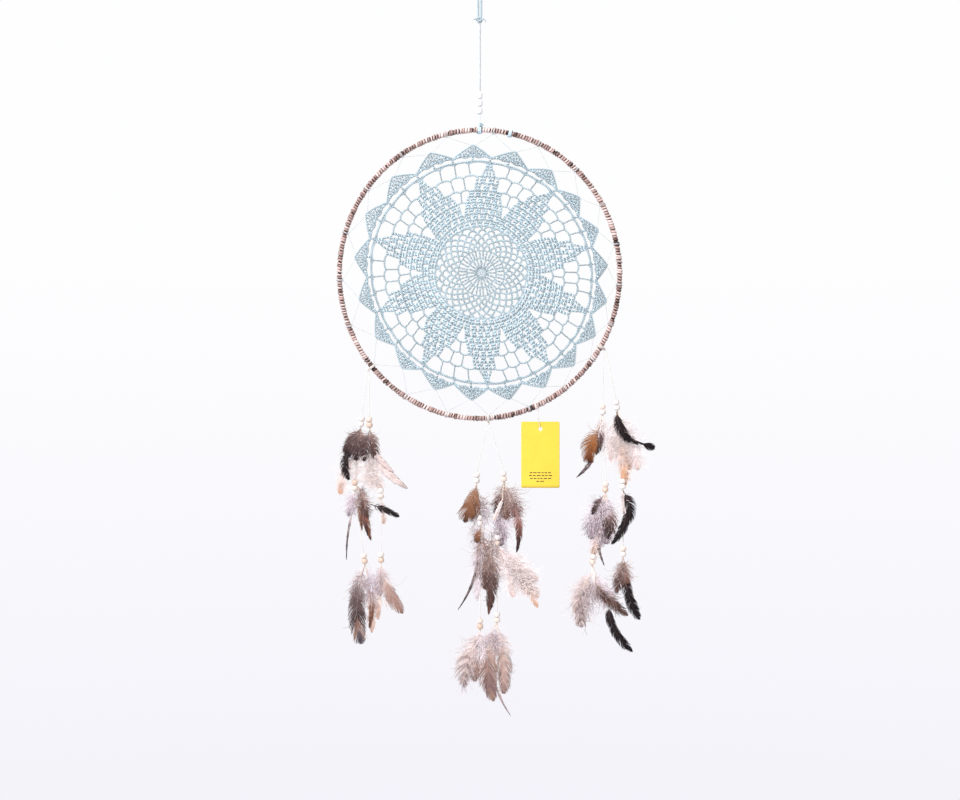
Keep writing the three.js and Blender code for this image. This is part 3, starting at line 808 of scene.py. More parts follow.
doily_blocks = make_blocks(MOTIFS[:5], "doily_blocks_right")
doily_more = make_blocks(MOTIFS[5:], "doily_blocks_left")
doily_middle = make_middle()
doily_edging = make_edging()
for obj in (doily_blocks, doily_more, doily_middle, doily_edging):
    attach(obj, "hoop")
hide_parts("doily")


# ---- Lacing ----


def make_lacing():
    """One thread from tip to hoop and back, hitched round the hoop between each two tips."""
    rng = np.random.default_rng(4)
    pile = Pile()
    for k in range(20):
        tip = lace(FIRST_TIP - TIP_STEP * k, TIP_R - 1.6)
        for half in (-0.5, 0.5):
            between = lace(FIRST_TIP - TIP_STEP * (k + half), 150.0) - vec(*DOILY)
            theta = math.atan2(between[2], between[0])
            theta = math.atan2(math.sin(theta) / HALF_HEIGHT, math.cos(theta) / HALF_WIDTH)
            theta = math.degrees(theta)
            anchor = rod_point(theta)
            start = tip + rng.normal(0, 0.3, 3) * (1, 0, 1)
            end = anchor - rod_outward(theta) * 3.9 + rod_along(theta) * (0.9 * half)
            twisted(pile, np.stack([start, end]), 0.5, 2, 3.2, PALE_BLUE, sides=4, steps=4)
            if half > 0:
                winding(pile, theta, 1.3, 0.4, 1.8, PALE_BLUE, 3.95)
    return pile.object("lacing_twine", lacing_mat)


place(make_lacing(), "hoop", "lacing_thread")

pile = Pile()
winding(pile, LACING_KNOT, 4.2, 0.85, 3.6, BLUE, 4.3, plies=3)
winding(pile, LACING_KNOT, 2.0, 0.75, 1.4, BLUE, 4.6, 0.3, plies=3)
place(pile.object("binding", blue_yarn), "hoop", "lacing_knot")


# ---- Feathers ----

# How much of the light a feather's vane and its down give back
PLUME = np.array([0.90, 0.835, 0.84])
DOWN = np.array([0.97, 0.93, 0.94])
DEPTH = 15.0  # no barb stands further forward or back than this

# Each style's colours down the vane, with bars, dark patches (mottle) or a colour at its edge
STYLES = {
    "black": dict(stops=[(0, (60, 46, 50)), (0.25, (38, 27, 31)), (1, (24, 17, 21))]),
    "dark": dict(stops=[(0, (158, 136, 134)), (0.2, (112, 90, 90)), (0.7, (78, 60, 60)),
                        (1, (52, 39, 42))], mottle=0.35),
    "umber": dict(stops=[(0, (190, 168, 160)), (0.25, (132, 104, 97)), (0.6, (98, 74, 69)),
                         (0.85, (88, 63, 57)), (1, (128, 95, 82))], mottle=0.2),
    "brown": dict(stops=[(0, (190, 164, 152)), (0.3, (150, 115, 102)), (1, (114, 83, 72))]),
    "fawn": dict(stops=[(0, (222, 206, 200)), (0.35, (196, 170, 160)), (1, (160, 126, 112))],
                 edge=(140, 108, 96), edge_from=0.7),
    "rust": dict(stops=[(0, (196, 166, 146)), (0.4, (150, 103, 74)), (1, (98, 64, 50))],
                 mottle=0.25),
    "gold": dict(stops=[(0, (180, 134, 98)), (0.35, (164, 104, 54)), (0.75, (124, 72, 38)),
                        (1, (66, 40, 32))], edge=(76, 50, 42), edge_from=0.72),
    "amber": dict(stops=[(0, (176, 136, 110)), (0.45, (150, 106, 78)), (0.8, (122, 82, 58)),
                         (1, (64, 42, 35))], edge=(70, 50, 42), edge_from=0.78),
    "hackle": dict(stops=[(0, (190, 150, 146)), (0.4, (160, 112, 100)), (0.7, (84, 56, 54)),
                          (1, (34, 24, 30))]),
    "barred": dict(stops=[(0, (240, 230, 226)), (0.5, (222, 208, 202)), (1, (206, 190, 184))],
                   bars=6.5, bar=(168, 150, 146), mottle=0.2),
    "pale_barred": dict(stops=[(0, (248, 243, 242)), (0.5, (244, 236, 233)), (1, (232, 219, 213))],
                        bars=4.0, bar=(226, 214, 208), edge=(126, 110, 106), edge_from=0.74),
    "mottled": dict(stops=[(0, (240, 234, 240)), (0.4, (214, 204, 212)), (1, (186, 174, 182))],
                    edge=(120, 106, 114), edge_from=0.7, mottle=0.55),
    "striped": dict(stops=[(0, (206, 194, 192)), (0.4, (130, 116, 116)), (1, (84, 72, 76))],
                    bars=4.0, bar=(44, 35, 38)),
    "tan": dict(stops=[(0, (246, 236, 230)), (0.5, (236, 218, 206)), (1, (220, 194, 178))]),
    "cream": dict(stops=[(0, (254, 252, 251)), (0.6, (252, 246, 243)), (1, (247, 230, 220))]),
    "peach": dict(stops=[(0, (250, 243, 238)), (0.5, (244, 226, 214)), (1, (232, 196, 168))]),
    "orange": dict(stops=[(0, (248, 232, 218)), (0.6, (238, 204, 172)), (1, (222, 164, 116))]),
    "white": dict(stops=[(0, (250, 248, 251)), (0.6, (244, 240, 245)), (1, (234, 228, 234))]),
    "grey": dict(stops=[(0, (222, 214, 216)), (0.5, (184, 172, 174)), (1, (150, 136, 138))],
                 mottle=0.3),
    "eye": dict(stops=[(0, (190, 174, 172)), (0.2, (136, 118, 116)), (0.5, (92, 76, 76)),
                       (0.62, (82, 64, 60)), (0.7, (146, 116, 104)), (0.78, (176, 146, 132)),
                       (0.83, (104, 94, 98)), (1, (70, 66, 76))], mottle=0.25),
    "mauve": dict(stops=[(0, (232, 218, 214)), (0.2, (194, 168, 156)), (0.5, (166, 138, 128)),
                         (0.75, (146, 120, 118)), (0.9, (168, 140, 126)), (1, (164, 134, 122))],
                  mottle=0.2),
    "brown_edge": dict(stops=[(0, (236, 224, 218)), (0.3, (212, 190, 178)), (1, (184, 156, 150))],
                       edge=(150, 126, 114), edge_from=0.3, mottle=0.2),
}


def outline(kind, t):
    """How far the vane reaches at each place along it, from 0 to 1."""
    t = np.clip(t, 0, 1)
    if kind == "fan":
        return (0.1 + 0.9 * t**0.9) * (1 - t**9) ** 0.5
    if kind == "point":
        return (1 - np.exp(-t / 0.1)) * (1 - t**1.7) ** 0.8
    if kind == "blunt":
        return (1 - np.exp(-t / 0.16)) * (1 - t**9) ** 0.5
    if kind == "spatula":
        return (0.16 + 0.84 * smoothstep(t, 0.6, 0.86)) * (1 - t**16) ** 0.5
    return (1 - np.exp(-t / 0.16)) * (1 - t**4) ** 0.55


def feather_colours(style, t, u, phase):
    """Colours of a vane at a share t of the way down it and u of the way out to its edge."""
    colours = ramp(t, style["stops"])
    if "mottle" in style:
        patch = np.sin(11 * t + 4 * u + phase[0]) * np.sin(23 * t - 6 * u + phase[1])
        colours = colours * (1 + style["mottle"] * np.clip(patch * 1.4, -1, 0.5))[..., None]
    if "bars" in style:
        wave = np.sin(2 * math.pi * (style["bars"] * t + 0.2 * u) + phase[0])
        dark = smoothstep(wave + 0.35 * np.sin(31 * t + 5 * u + phase[1]), 0.0, 0.9)[..., None]
        colours = colours * (1 - dark) + linear(*style["bar"]) * dark
    if "edge" in style:
        rim = smoothstep(u + 0.35 * smoothstep(t, 0.8, 1.0), style["edge_from"], 1.0)[..., None]
        colours = colours * (1 - rim) + linear(*style["edge"]) * rim
    return colours


def barb_lengths(kind, own, lean, length, width):
    """How long each barb is when its end lies on the vane's outline, found by halving."""
    short, far_off = np.zeros(len(own)), np.full(len(own), width * 1.15)
    for _ in range(14):
        barb = (short + far_off) / 2
        reach = outline(kind, own + barb * np.cos(lean) / length) * width / 2
        inside = barb * np.sin(lean) < reach
        short, far_off = np.where(inside, barb, short), np.where(inside, far_off, barb)
    return short


def feather(pile, rng, style, base, tip, width, bend=0, down=0.3, frayed=0.12, kind="round"):
    """A shaft with barbs on both sides that lie close near the tip and fluff out at the foot.

    bend is how far its middle bows sideways, down is the share of the vane that is fluffy, and
    frayed is the share of its other barbs that stray."""
    look = STYLES[style]
    p0, p2 = base, tip
    p1 = (p0 + p2) / 2 + vec(2 * bend, 0, -4)
    length = np.linalg.norm(p2 - p0)

    def at(t):
        t = np.asarray(t, float)[..., None]
        return (1 - t) ** 2 * p0 + 2 * t * (1 - t) * p1 + t**2 * p2

    def toward(t):
        t = np.asarray(t, float)[..., None]
        return unit(2 * (1 - t) * (p1 - p0) + 2 * t * (p2 - p1))

    # Shaft
    t = np.linspace(0, 0.97, 16)
    path, along = at(t), toward(t)
    across = unit(np.cross(along, FRONT))
    shaft_r = np.interp(t, [0, 0.15, 1], [0.55, 0.5, 0.12]) * min(1.0, length / 50 + 0.4)
    mid = ramp(t, look["stops"])
    pale = np.interp(t, [0, 1], [0.6, 0.15]) * min(1.0, 0.15 + 2.5 * mid.mean())
    shaft = mid * 0.7 + linear(226, 212, 196) * pale[:, None]
    skin(pile, path, -across, np.cross(across, along), shaft_r, 5, PLUME * shaft[None])

    # Barbs: s is each one's place down the vane, and v runs along it from its foot to its end
    count = int(np.clip(length / 0.72, 26, 120))
    start = 0.1
    s = (np.arange(count) + 0.5) / count
    tidy = smoothstep(s, down * 0.6, down * 1.25 + 0.02)
    clump = np.interp(s, np.linspace(0, 1, 11), rng.normal(0, 0.1, 11))
    steps = 5
    v = np.linspace(0, 1, steps)
    phase = rng.uniform(0, 6, 2)
    for sign in (1, -1):
        stray = (rng.random(count) < frayed) * rng.uniform(0.2, 0.7, count) * (1 - s**6)
        fluffy = np.maximum(1 - tidy, stray)
        own = start + (1 - start) * np.clip(s + rng.normal(0, 0.003, count), 0, 1) * 0.985
        foot, way = at(own), toward(own)
        out = unit(np.cross(way, FRONT)) * sign
        splits = np.interp(s, np.linspace(0, 1, 9), rng.normal(0, 0.07, 9)) + clump * 0.3
        angle = np.interp(s, [0, 0.5, 0.85, 1], [1.05, 0.74, 0.52, 0.3])
        angle = angle + splits * (1 - s**4)
        angle = angle + fluffy * rng.normal(0.15, 0.38, count) + rng.normal(0, 0.03, count)
        full = barb_lengths(kind, own, 0.72 * np.clip(angle, 0.12, 1.5), length, width)
        barb = (full + 0.5) * (1 + rng.normal(0, 0.045, count) + np.minimum(clump, 0.1))
        barb = barb * (1 + fluffy * rng.uniform(-0.2, 0.6, count) * (1 - 0.7 * s**4))
        curl_back = fluffy * rng.normal(0, 0.5, count)
        bent = angle[:, None] * (1 - 0.28 * v) + curl_back[:, None] * v**2
        lateral = (barb[:, None] * v * np.sin(bent))[..., None]
        forward = (barb[:, None] * v * np.cos(bent))[..., None]
        depth = (
            -0.05 * width * v[None] ** 2
            + rng.normal(0, 0.25, count)[:, None] * v[None]
            + fluffy[:, None] * rng.normal(0.6, 2.6, count)[:, None] * v[None] ** 1.5
        )
        line = foot[:, None] + out[:, None] * lateral + way[:, None] * forward
        line = line + FRONT * depth[..., None]
        along_barb = unit(np.gradient(line, axis=1))
        flat = unit(np.cross(along_barb, FRONT))
        lift = np.cross(flat, along_barb)
        spacing = length * (1 - start) / count
        half = (spacing * 0.62 * (1 - fluffy * 0.45))[:, None] * (1 - 0.72 * v**1.4)
        line[..., 1] = DEPTH * np.tanh(line[..., 1] / DEPTH)
        left, right = line + flat * half[..., None], line - flat * half[..., None]
        facing = np.sign(lift @ -FRONT)[..., None]
        ridge = line - lift * 0.14 * (1 - 0.6 * v)[None, :, None] * facing
        points = np.stack([left, right, ridge], 2)
        index = np.arange(count * steps * 3).reshape(count, steps, 3)
        near, far = index[:, :-1], index[:, 1:]
        quads = np.stack([near, far, np.roll(far, -1, 2), np.roll(near, -1, 2)], -1)
        faces = [quads, index[:, 0], index[:, -1, ::-1]]
        colours = feather_colours(look, *np.broadcast_arrays(s[:, None], v), phase)
        pale = (1 - tidy)[:, None, None]
        colours = colours * (1 - pale) + linear(*look["stops"][0][1]) * pale
        colours = PLUME * colours * (1 + rng.normal(0, 0.11, count))[:, None, None]
        pile.add(points, faces, np.repeat(colours.reshape(-1, 3), 3, 0))


def fluff(pile, rng, root, centre, size, count, tints):
    """Loose down: soft curling strands from a root towards a rounded cloud."""
    root = np.asarray(root, float)
    centre = np.asarray(centre, float)
    size = np.asarray(size, float)
    out = unit(rng.normal(0, 1, (count, 3)))
    begin = centre + (root - centre) * rng.uniform(-0.3, 0.45, (count, 1))
    begin = begin + out * size * rng.uniform(0, 0.55, (count, 1)) ** 0.8
    drop = unit(out + rng.normal(0, 0.55, (count, 3)) + unit(centre - root) * 0.7)
    reach = rng.uniform(0.35, 0.95, (count, 1)) * size
    v = np.linspace(0, 1, 7)[None, :, None]
    bulge = rng.normal(0, 0.3, (count, 1, 3)) * reach[:, None]
    line = begin[:, None] + (drop * reach)[:, None] * v + bulge * np.sin(math.pi * v)
    line = line + rng.normal(0, 0.035, line.shape) * reach[:, None]
    along = unit(np.gradient(line, axis=1))
    side = unit(np.cross(along, FRONT + rng.normal(0, 0.2, (count, 1, 3))))
    lift = np.cross(side, along)
    radius = 0.275 * (1 - 0.75 * v[..., 0]) * rng.uniform(0.7, 1.2, (count, 1))
    choice = np.array([linear(*c) for c in tints])[rng.integers(0, len(tints), count)]
    line[..., 1] = DEPTH * np.tanh(line[..., 1] / DEPTH)
    choice = DOWN * choice * rng.uniform(0.9, 1.04, (count, 1))
    skin(pile, line, -side, lift, radius, 3, np.repeat(choice[:, None], 7, 1))


QUILL = linear(232, 220, 204)
WHITE_DOWN = [(250, 247, 250), (240, 234, 240), (222, 214, 222)]
CREAM_DOWN = [(253, 250, 248), (250, 244, 240), (238, 226, 218)]
BROWN_DOWN = [(222, 208, 204), (176, 152, 146), (142, 114, 108)]
PEACH_DOWN = [(250, 244, 240), (244, 230, 220), (236, 208, 188)]
GREY_DOWN = [(242, 235, 238), (216, 205, 210), (184, 170, 176)]
DARK_DOWN = [(206, 194, 198), (132, 112, 116), (84, 66, 70)]

# Each tuft: its feathers as (style, base, tip, width, bend, down, frayed, kind), as feather()
# takes them, and its fluff as (centre, size, count, tints). Bases and tips are (x, back, down)
# and centres are (x, down), from the point where the tuft hangs.
TUFTS = {
    "left_a_top": ([
        ("dark", (0, 0, 1), (-16, -3, 36), 15, -3, 0.1, 0.5),
        ("dark", (0, 0, 1), (-6, -4, 40), 15, -1, 0.1, 0.4),
        ("umber", (0, 0, 1), (3, -2, 36), 12, 1, 0.1, 0.4),
        ("umber", (-2, 0, 3), (-20, -1, 30), 10, -3, 0.1, 0.6),
        ("black", (-14, -3, 28), (-14, -4, 64), 11, -5, 0.1, 0.3),
        ("black", (-8, -2, 26), (-20, -3, 40), 9, -1, 0.1, 0.5),
        ("peach", (-9, 0, 34), (-25, 3, 82), 13, -4, 0.7),
    ], [
        ((-5, 54), (10, 5, 9), 200, CREAM_DOWN),
        ((-18, 60), (8, 4, 12), 90, PEACH_DOWN),
        ((-6, 34), (12, 4, 8), 70, DARK_DOWN),
    ]),
    "left_b_top": ([
        ("dark", (0, 0, 1), (-7, -4, 40), 14, -1, 0.08, 0.4),
        ("umber", (0, 0, 1), (6, -2, 37), 13, 2, 0.08, 0.5),
        ("pale_barred", (1, 0, 20), (29, -1, 54), 7, -3),
        ("pale_barred", (3, 0, 30), (46, 2, 74), 10, -5),
        ("cream", (1, 1, 20), (14, 2, 80), 13, 0, 0.7),
    ], [
        ((1, 54), (16, 6, 12), 420, CREAM_DOWN),
        ((2, 38), (10, 4, 8), 60, DARK_DOWN),
    ]),
    "left_a_middle": ([
        ("mottled", (0, 0, 1), (-7, -2, 30), 16, 0, 0.5, 0.6),
        ("rust", (6, 0, -4), (20, -3, 60), 15, -1, 0.3, 0.5, "point"),
        ("umber", (4, 0, -6), (16, -4, 34), 15, 1, 0.3, 0.6),
        ("rust", (5, 0, 2), (9, -2, 48), 9, 0, 0.3, 0.5, "point"),
        ("hackle", (7, 0, 6), (16, -4, 54), 7, 0, 0.3, 0.12, "point"),
        ("striped", (-3, -1, 26), (-10, -1, 84), 2.4, -2, 0, 0.12, "point"),
    ], [
        ((-3, 12), (10, 6, 15), 190, WHITE_DOWN),
        ((8, 4), (8, 4, 10), 110, DARK_DOWN),
    ]),
    "left_b_middle": ([
        ("black", (-13, -1, 6), (22, -3, 21), 9, 2, 0.1, 0.2),
        ("tan", (0, 0, 1), (3, 2, 30), 8, 1, 0.7),
    ], [
        ((0, 9), (5, 4, 7), 50, WHITE_DOWN),
    ]),
    "left_a_low": ([
        ("eye", (0, 0, 1), (-4, -3, 97), 20, -7, 0.2, 0.25, "blunt"),
        ("grey", (-1, 0, 3), (-9, 0, 54), 16, -5, 0.3, 0.4),
        ("rust", (6, 0, 24), (5, 1, 78), 9, 3, 0.3, 0.4, "point"),
        ("tan", (2, 1, 10), (8, 3, 84), 12, 2, 0.6),
    ], [
        ((8, 28), (9, 5, 25), 300, WHITE_DOWN),
        ((-9, 44), (11, 5, 28), 130, GREY_DOWN),
        ((-6, 66), (9, 4, 18), 50, BROWN_DOWN),
    ]),
    "left_b_low": ([
        ("mottled", (0, 0, 1), (-1, -1, 40), 10, -2),
        ("fawn", (0, 0, 1), (27, -3, 61), 15, -5, 0.3, 0.05, "blunt"),
        ("tan", (-1, 0, 8), (-4, 3, 69), 11, -1, 0.6),
    ], [
        ((0, 14), (6, 5, 10), 70, WHITE_DOWN),
        ((6, 40), (6, 4, 14), 40, PEACH_DOWN),
    ]),
    "centre_a_top": ([
        ("amber", (0, 0, 1), (-14, -4, 47), 25, -1, 0.05, 0.15, "fan"),
        ("amber", (0, 0, 1), (-5, -2, 43), 20, 1, 0.1, 0.3, "fan"),
    ], [
        ((10, 34), (10, 6, 12), 190, GREY_DOWN),
        ((-2, 56), (11, 5, 9), 130, GREY_DOWN),
        ((6, 58), (10, 5, 12), 110, WHITE_DOWN),
        ((4, 30), (13, 5, 12), 90, BROWN_DOWN),
        ((-4, 60), (6, 4, 6), 60, BROWN_DOWN),
    ]),
    "centre_b_top": ([
        ("umber", (0, 0, 2), (15, -3, 42), 24, 3, 0.5, 0.7),
        ("umber", (-1, 0, 1), (-10, -2, 40), 15, -1, 0.3, 0.6),
        ("brown", (0, 0, 10), (4, -3, 46), 20, 0, 0.5, 0.7),
        ("hackle", (8, -2, 16), (15, -4, 86), 13, 6, 0.35, 0.12, "point"),
        ("mottled", (0, 0, 8), (-4, 1, 78), 18, 1, 0.6),
        ("cream", (-2, -5, 20), (-13, -7, 47), 5, 0, 0),
    ], [
        ((-8, 58), (10, 6, 16), 200, GREY_DOWN),
        ((2, 60), (10, 5, 14), 100, WHITE_DOWN),
        ((2, 12), (5, 3, 12), 60, PEACH_DOWN),
        ((6, 30), (17, 6, 15), 170, BROWN_DOWN),
        ((-6, 70), (10, 4, 8), 60, DARK_DOWN),
    ]),
    "centre_a_middle": ([
        ("amber", (0, 0, 1), (-5, -3, 20), 11, 0, 0.2),
        ("umber", (13, 0, 6), (10, -3, 108), 25, 3, 0.35, 0.35, "point"),
        ("striped", (-4, 0, 36), (-28, 0, 103), 4, 6, 0, 0.12, "point"),
        ("brown", (4, 0, 6), (6, 1, 78), 22, 0, 0.5, 0.5),
        ("white", (0, 0, 12), (-4, 3, 92), 11, -1, 0.8),
    ], [
        ((-3, 40), (9, 5, 22), 160, WHITE_DOWN),
        ((8, 34), (14, 5, 18), 130, BROWN_DOWN),
    ]),
    "centre_b_middle": ([
        ("cream", (0, 0, 1), (40, 5, 60), 24, 2, 0.8),
        ("cream", (1, 1, 2), (51, 7, 64), 18, 4, 0.7, 0.5),
        ("peach", (24, 2, 34), (50, 7, 76), 9, 2, 0.6, 0.5),
        ("cream", (0, 0, 1), (20, 1, 62), 18, 2, 0.8),
        ("cream", (1, 1, 1), (50, 6, 44), 16, 3, 0.8),
    ], [
        ((27, 38), (20, 6, 18), 330, CREAM_DOWN),
    ]),
    "centre_a_low": ([
        ("barred", (0, 0, 1), (-19, 0, 70), 26, -6, 0.3, 0.5),
        ("white", (0, 0, 1), (2, -3, 42), 14, 0, 0.9),
        ("brown_edge", (0, 0, 4), (-6, 1, 64), 18, -3, 0.3, 0.3),
    ], [
        ((1, 18), (10, 6, 15), 200, WHITE_DOWN),
        ((-16, 54), (11, 4, 17), 110, GREY_DOWN),
    ]),
    "centre_b_low": ([
        ("mauve", (-3, 0, 2), (-4, -4, 95), 25, -8, 0.22, 0.15),
        ("brown_edge", (0, 0, 2), (8, -1, 86), 21, 4, 0.25, 0.35),
        ("grey", (-4, 1, 66), (17, 1, 114), 2.8, -3, 0, 0.12, "point"),
    ], [
        ((-3, 22), (14, 6, 16), 300, WHITE_DOWN),
        ((-2, 24), (12, 5, 14), 70, GREY_DOWN),
        ((-2, 55), (15, 4, 24), 80, PEACH_DOWN),
    ]),
    "right_a_top": ([
        ("gold", (-3, 0, 14), (-16, -4, 58), 22, -5, 0.1, 0.05),
        ("dark", (-1, 0, 14), (-8, -2, 48), 11, 0, 0.0),
        ("striped", (-12, 0, 52), (-32, 0, 76), 6, 2, 0, 0.12, "point"),
        ("cream", (0, 0, 1), (0, 1, 34), 10, 0, 0.9),
    ], [
        ((-4, 16), (8, 5, 15), 110, CREAM_DOWN),
    ]),
    "right_b_top": ([
        ("black", (-1, -2, 1), (14, -9, 38), 13, -4, 0.0, 0.2),
        ("black", (2, -3, 18), (25, -8, 41), 8, -4, 0.0, 0.5),
        ("black", (14, -6, 34), (45, -8, 45), 12, -1, 0, 0, "spatula"),
        ("cream", (0, 0, 3), (26, 2, 72), 24, 3, 0.8, 0.5),
        ("cream", (-1, 0, 3), (-7, 2, 62), 20, -3, 0.8, 0.5),
        ("peach", (0, 0, 6), (14, 3, 72), 22, 1, 0.7),
        ("orange", (4, 0, 34), (9, 0, 92), 11, 1, 0.5),
    ], [
        ((4, 44), (20, 5, 19), 330, CREAM_DOWN),
        ((10, 64), (14, 5, 10), 130, PEACH_DOWN),
        ((22, 34), (10, 5, 7), 60, WHITE_DOWN),
    ]),
    "right_a_middle": ([
        ("mottled", (0, 0, 1), (-17, -2, 56), 24, -5, 0.4, 0.6),
        ("mottled", (0, 0, 1), (1, -3, 62), 21, 3, 0.45, 0.5),
        ("mottled", (-2, 0, 8), (-8, 0, 68), 22, 0, 0.6, 0.5),
        ("dark", (-2, 0, 3), (-16, -4, 26), 8, -2, 0.1, 0.7),
        ("dark", (0, 0, 16), (4, -5, 56), 13, -1, 0.3, 0.7),
        ("umber", (6, 0, 14), (8, -4, 50), 12, 2, 0.2, 0.7),
        ("tan", (-8, 0, 36), (-15, 2, 80), 11, 0, 0.6),
        ("striped", (-9, 0, 62), (-1, 0, 89), 3.5, -1, 0, 0.12, "point"),
    ], [
        ((-7, 34), (17, 6, 24), 240, GREY_DOWN),
        ((-8, 34), (16, 6, 20), 70, DARK_DOWN),
        ((-12, 68), (9, 4, 14), 60, PEACH_DOWN),
    ]),
    "right_b_middle": ([
        ("black", (0, -1, 1), (3, -4, 44), 14, 7, 0.0),
        ("black", (4, -3, 24), (-14, -4, 66), 11, 5, 0.0),
        ("cream", (0, 0, 1), (2, 2, 30), 8, 0, 0.8),
    ], [
        ((0, 8), (4, 4, 7), 40, CREAM_DOWN),
    ]),
    "right_a_low": ([
        ("barred", (0, 0, 8), (-12, 1, 76), 24, -7, 0.6, 0.6),
        ("barred", (0, 0, 8), (-20, -1, 58), 16, -4, 0.5, 0.3),
        ("mottled", (0, 0, 10), (34, -2, 54), 22, -3, 0.4, 0.5),
        ("umber", (8, 0, 24), (44, -3, 61), 18, -5, 0.3, 0.5),
        ("umber", (3, 0, 18), (24, -4, 48), 10, -3, 0.3, 0.7),
        ("black", (21, 0, 48), (50, 0, 106), 12, -9, 0.0, 0.03, "blunt"),
        ("cream", (0, 0, 1), (3, -2, 26), 3.5, 0, 0),
    ], [
        ((-7, 42), (17, 6, 20), 240, GREY_DOWN),
        ((-10, 50), (14, 5, 18), 60, DARK_DOWN),
        ((8, 34), (15, 5, 16), 130, BROWN_DOWN),
    ]),
    "right_b_low": ([
        ("umber", (-1, 0, 1), (-9, -3, 43), 16, 0, 0.3, 0.4),
        ("brown", (0, 0, 1), (4, -2, 38), 14, 1, 0.4, 0.5),
        ("black", (2, -1, 14), (20, -2, 76), 13, -5, 0.0, 0.08, "blunt"),
    ], [
        ((0, 14), (9, 4, 12), 110, BROWN_DOWN),
    ]),
}


def make_tuft(name, seed):
    """The bunch of feathers under a pair of beads, each on a quill tied to the thread."""
    side, strand, level = name.split("_")
    _, centres, axes, _ = LAYOUT[side, strand]
    i = LEVELS.index(level)
    hang = centres[i] - axes[i] * PAIR_HALF - vec(0, 0.6)
    rng = np.random.default_rng(seed)
    pile = Pile()
    feathers, clouds = TUFTS[name]
    for style, base, tip, *more in feathers:
        foot, end = (hang + (x, back, -fall) for x, back, fall in (base, tip))
        quill = np.stack([hang + (rng.uniform(-0.7, 0.7), rng.uniform(-0.7, 0.7), 0.4),
                          foot - vec(0, 1.5)])
        along = unit(quill[1] - quill[0])
        across = unit(np.cross(along, FRONT))
        lift = -np.cross(along, across)
        skin(pile, quill, -np.stack([across] * 2), np.stack([lift] * 2), 0.45, 6, QUILL)
        feather(pile, rng, style, foot, end, *more)
    for centre, size, count, tints in clouds:
        spot = hang + (centre[0], 0, -centre[1])
        fluff(pile, rng, hang - vec(0, 2), spot, size, count, tints)
    obj = pile.object(f"{name}_feathers", feather_mat, flat=True)
    body = f"end_{side}_{strand}" if level == "low" else f"strand_{side}_{strand}"
    place(obj, body, f"{side}_{strand}_tuft_{level}")


for i, name in enumerate(TUFTS):
    make_tuft(name, 100 + i)


# ---- Swing tag ----

TAG_X = 71.5
TAG_W, TAG_H, TAG_T = 47.0, 81.0, 0.6
TAG_CORNER_R = 1.8
TAG_ABOVE_HOLE = 9
tag_rod_z = HOOP_Z - HALF_HEIGHT * math.sqrt(1 - (TAG_X / HALF_WIDTH) ** 2)
HOLE = (TAG_X + 3.0, tag_rod_z - 29.0)
HOLE_R = 2.4


def curl(x, z):
    """The card's slight bow towards the front along its foot."""
    u = (x - HOLE[0]) / (TAG_W / 2)
    v = (HOLE[1] + TAG_ABOVE_HOLE - z) / TAG_H
    return -1.3 * v**2 + 0.9 * u**2 * (0.4 + 0.6 * v) - 0.25


def make_card():
    """A card with round corners, as rings from its punched hole out to its rim and back."""
    corners = []
    for sx, sz, begin in ((1, 1, 0), (-1, 1, 90), (-1, -1, 180), (1, -1, 270)):
        cx = sx * (TAG_W / 2 - TAG_CORNER_R)
        cz = TAG_ABOVE_HOLE - (TAG_CORNER_R if sz > 0 else TAG_H - TAG_CORNER_R)
        for k in range(7):
            a = math.radians(begin + 15 * k)
            corners.append((cx + TAG_CORNER_R * math.cos(a), cz + TAG_CORNER_R * math.sin(a)))
    edge = np.array(corners + corners[:1])
    dense = []
    for p, q in zip(edge[:-1], edge[1:]):
        parts = max(1, int(np.linalg.norm(q - p) / 3))
        dense += [p + (q - p) * k / parts for k in range(parts)]
    rim = np.array(dense)
    n = len(rim)
    hole = HOLE_R * unit(rim)
    layers = []
    share = np.concatenate([[0, 0.03], np.linspace(0.08, 1, 20)])
    for back in (0, 1):
        for s in share if not back else share[::-1]:
            ring = hole * (1 - s) + rim * s
            x, z = HOLE[0] + ring[:, 0], HOLE[1] + ring[:, 1]
            layers.append(np.stack([x, curl(x, z) + (TAG_T / 2 if back else -TAG_T / 2), z], -1))
    points = np.stack(layers)
    index = np.arange(len(layers) * n).reshape(len(layers), n)
    near, far = index, np.roll(index, -1, 0)
    quads = np.stack([near, far, np.roll(far, -1, 1), np.roll(near, -1, 1)], -1)
    pile = Pile()
    pile.add(points, [quads], linear(206, 177, 55))
    return pile.object("card", card_mat)


def make_bars():
    """Short dashes in place of print, standing a hair proud of the card."""
    rng = np.random.default_rng(2)
    pile = Pile()
    index = np.arange(8).reshape(2, 4)
    sides = np.stack([index[0], np.roll(index[0], -1), np.roll(index[1], -1), index[1]], -1)
    for half, z in ((13.0, -53.5), (13.8, -57.0), (12.6, -60.5), (5.0, -64.0)):
        x = -half
        while x < half:
            w = min(rng.uniform(2.2, 5.0), half - x + 0.5)
            gx = np.array([x, x + w, x + w, x]) + HOLE[0]
            gz = np.array([-0.55, -0.55, 0.55, 0.55]) + z + HOLE[1]
            y = curl(gx, gz) - TAG_T / 2
            points = [np.stack([gx, y + shift, gz], -1) for shift in (-0.05, 0.05)]
            pile.add(points, [index[:1], index[1:, ::-1], sides[:, ::-1]], linear(52, 44, 24))
            x += w + rng.uniform(0.9, 1.3)
    return pile.object("card_dashes", card_mat, flat=True)


bars = make_bars()
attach(bars, "tag")
place(make_card(), "tag", "tag_card")

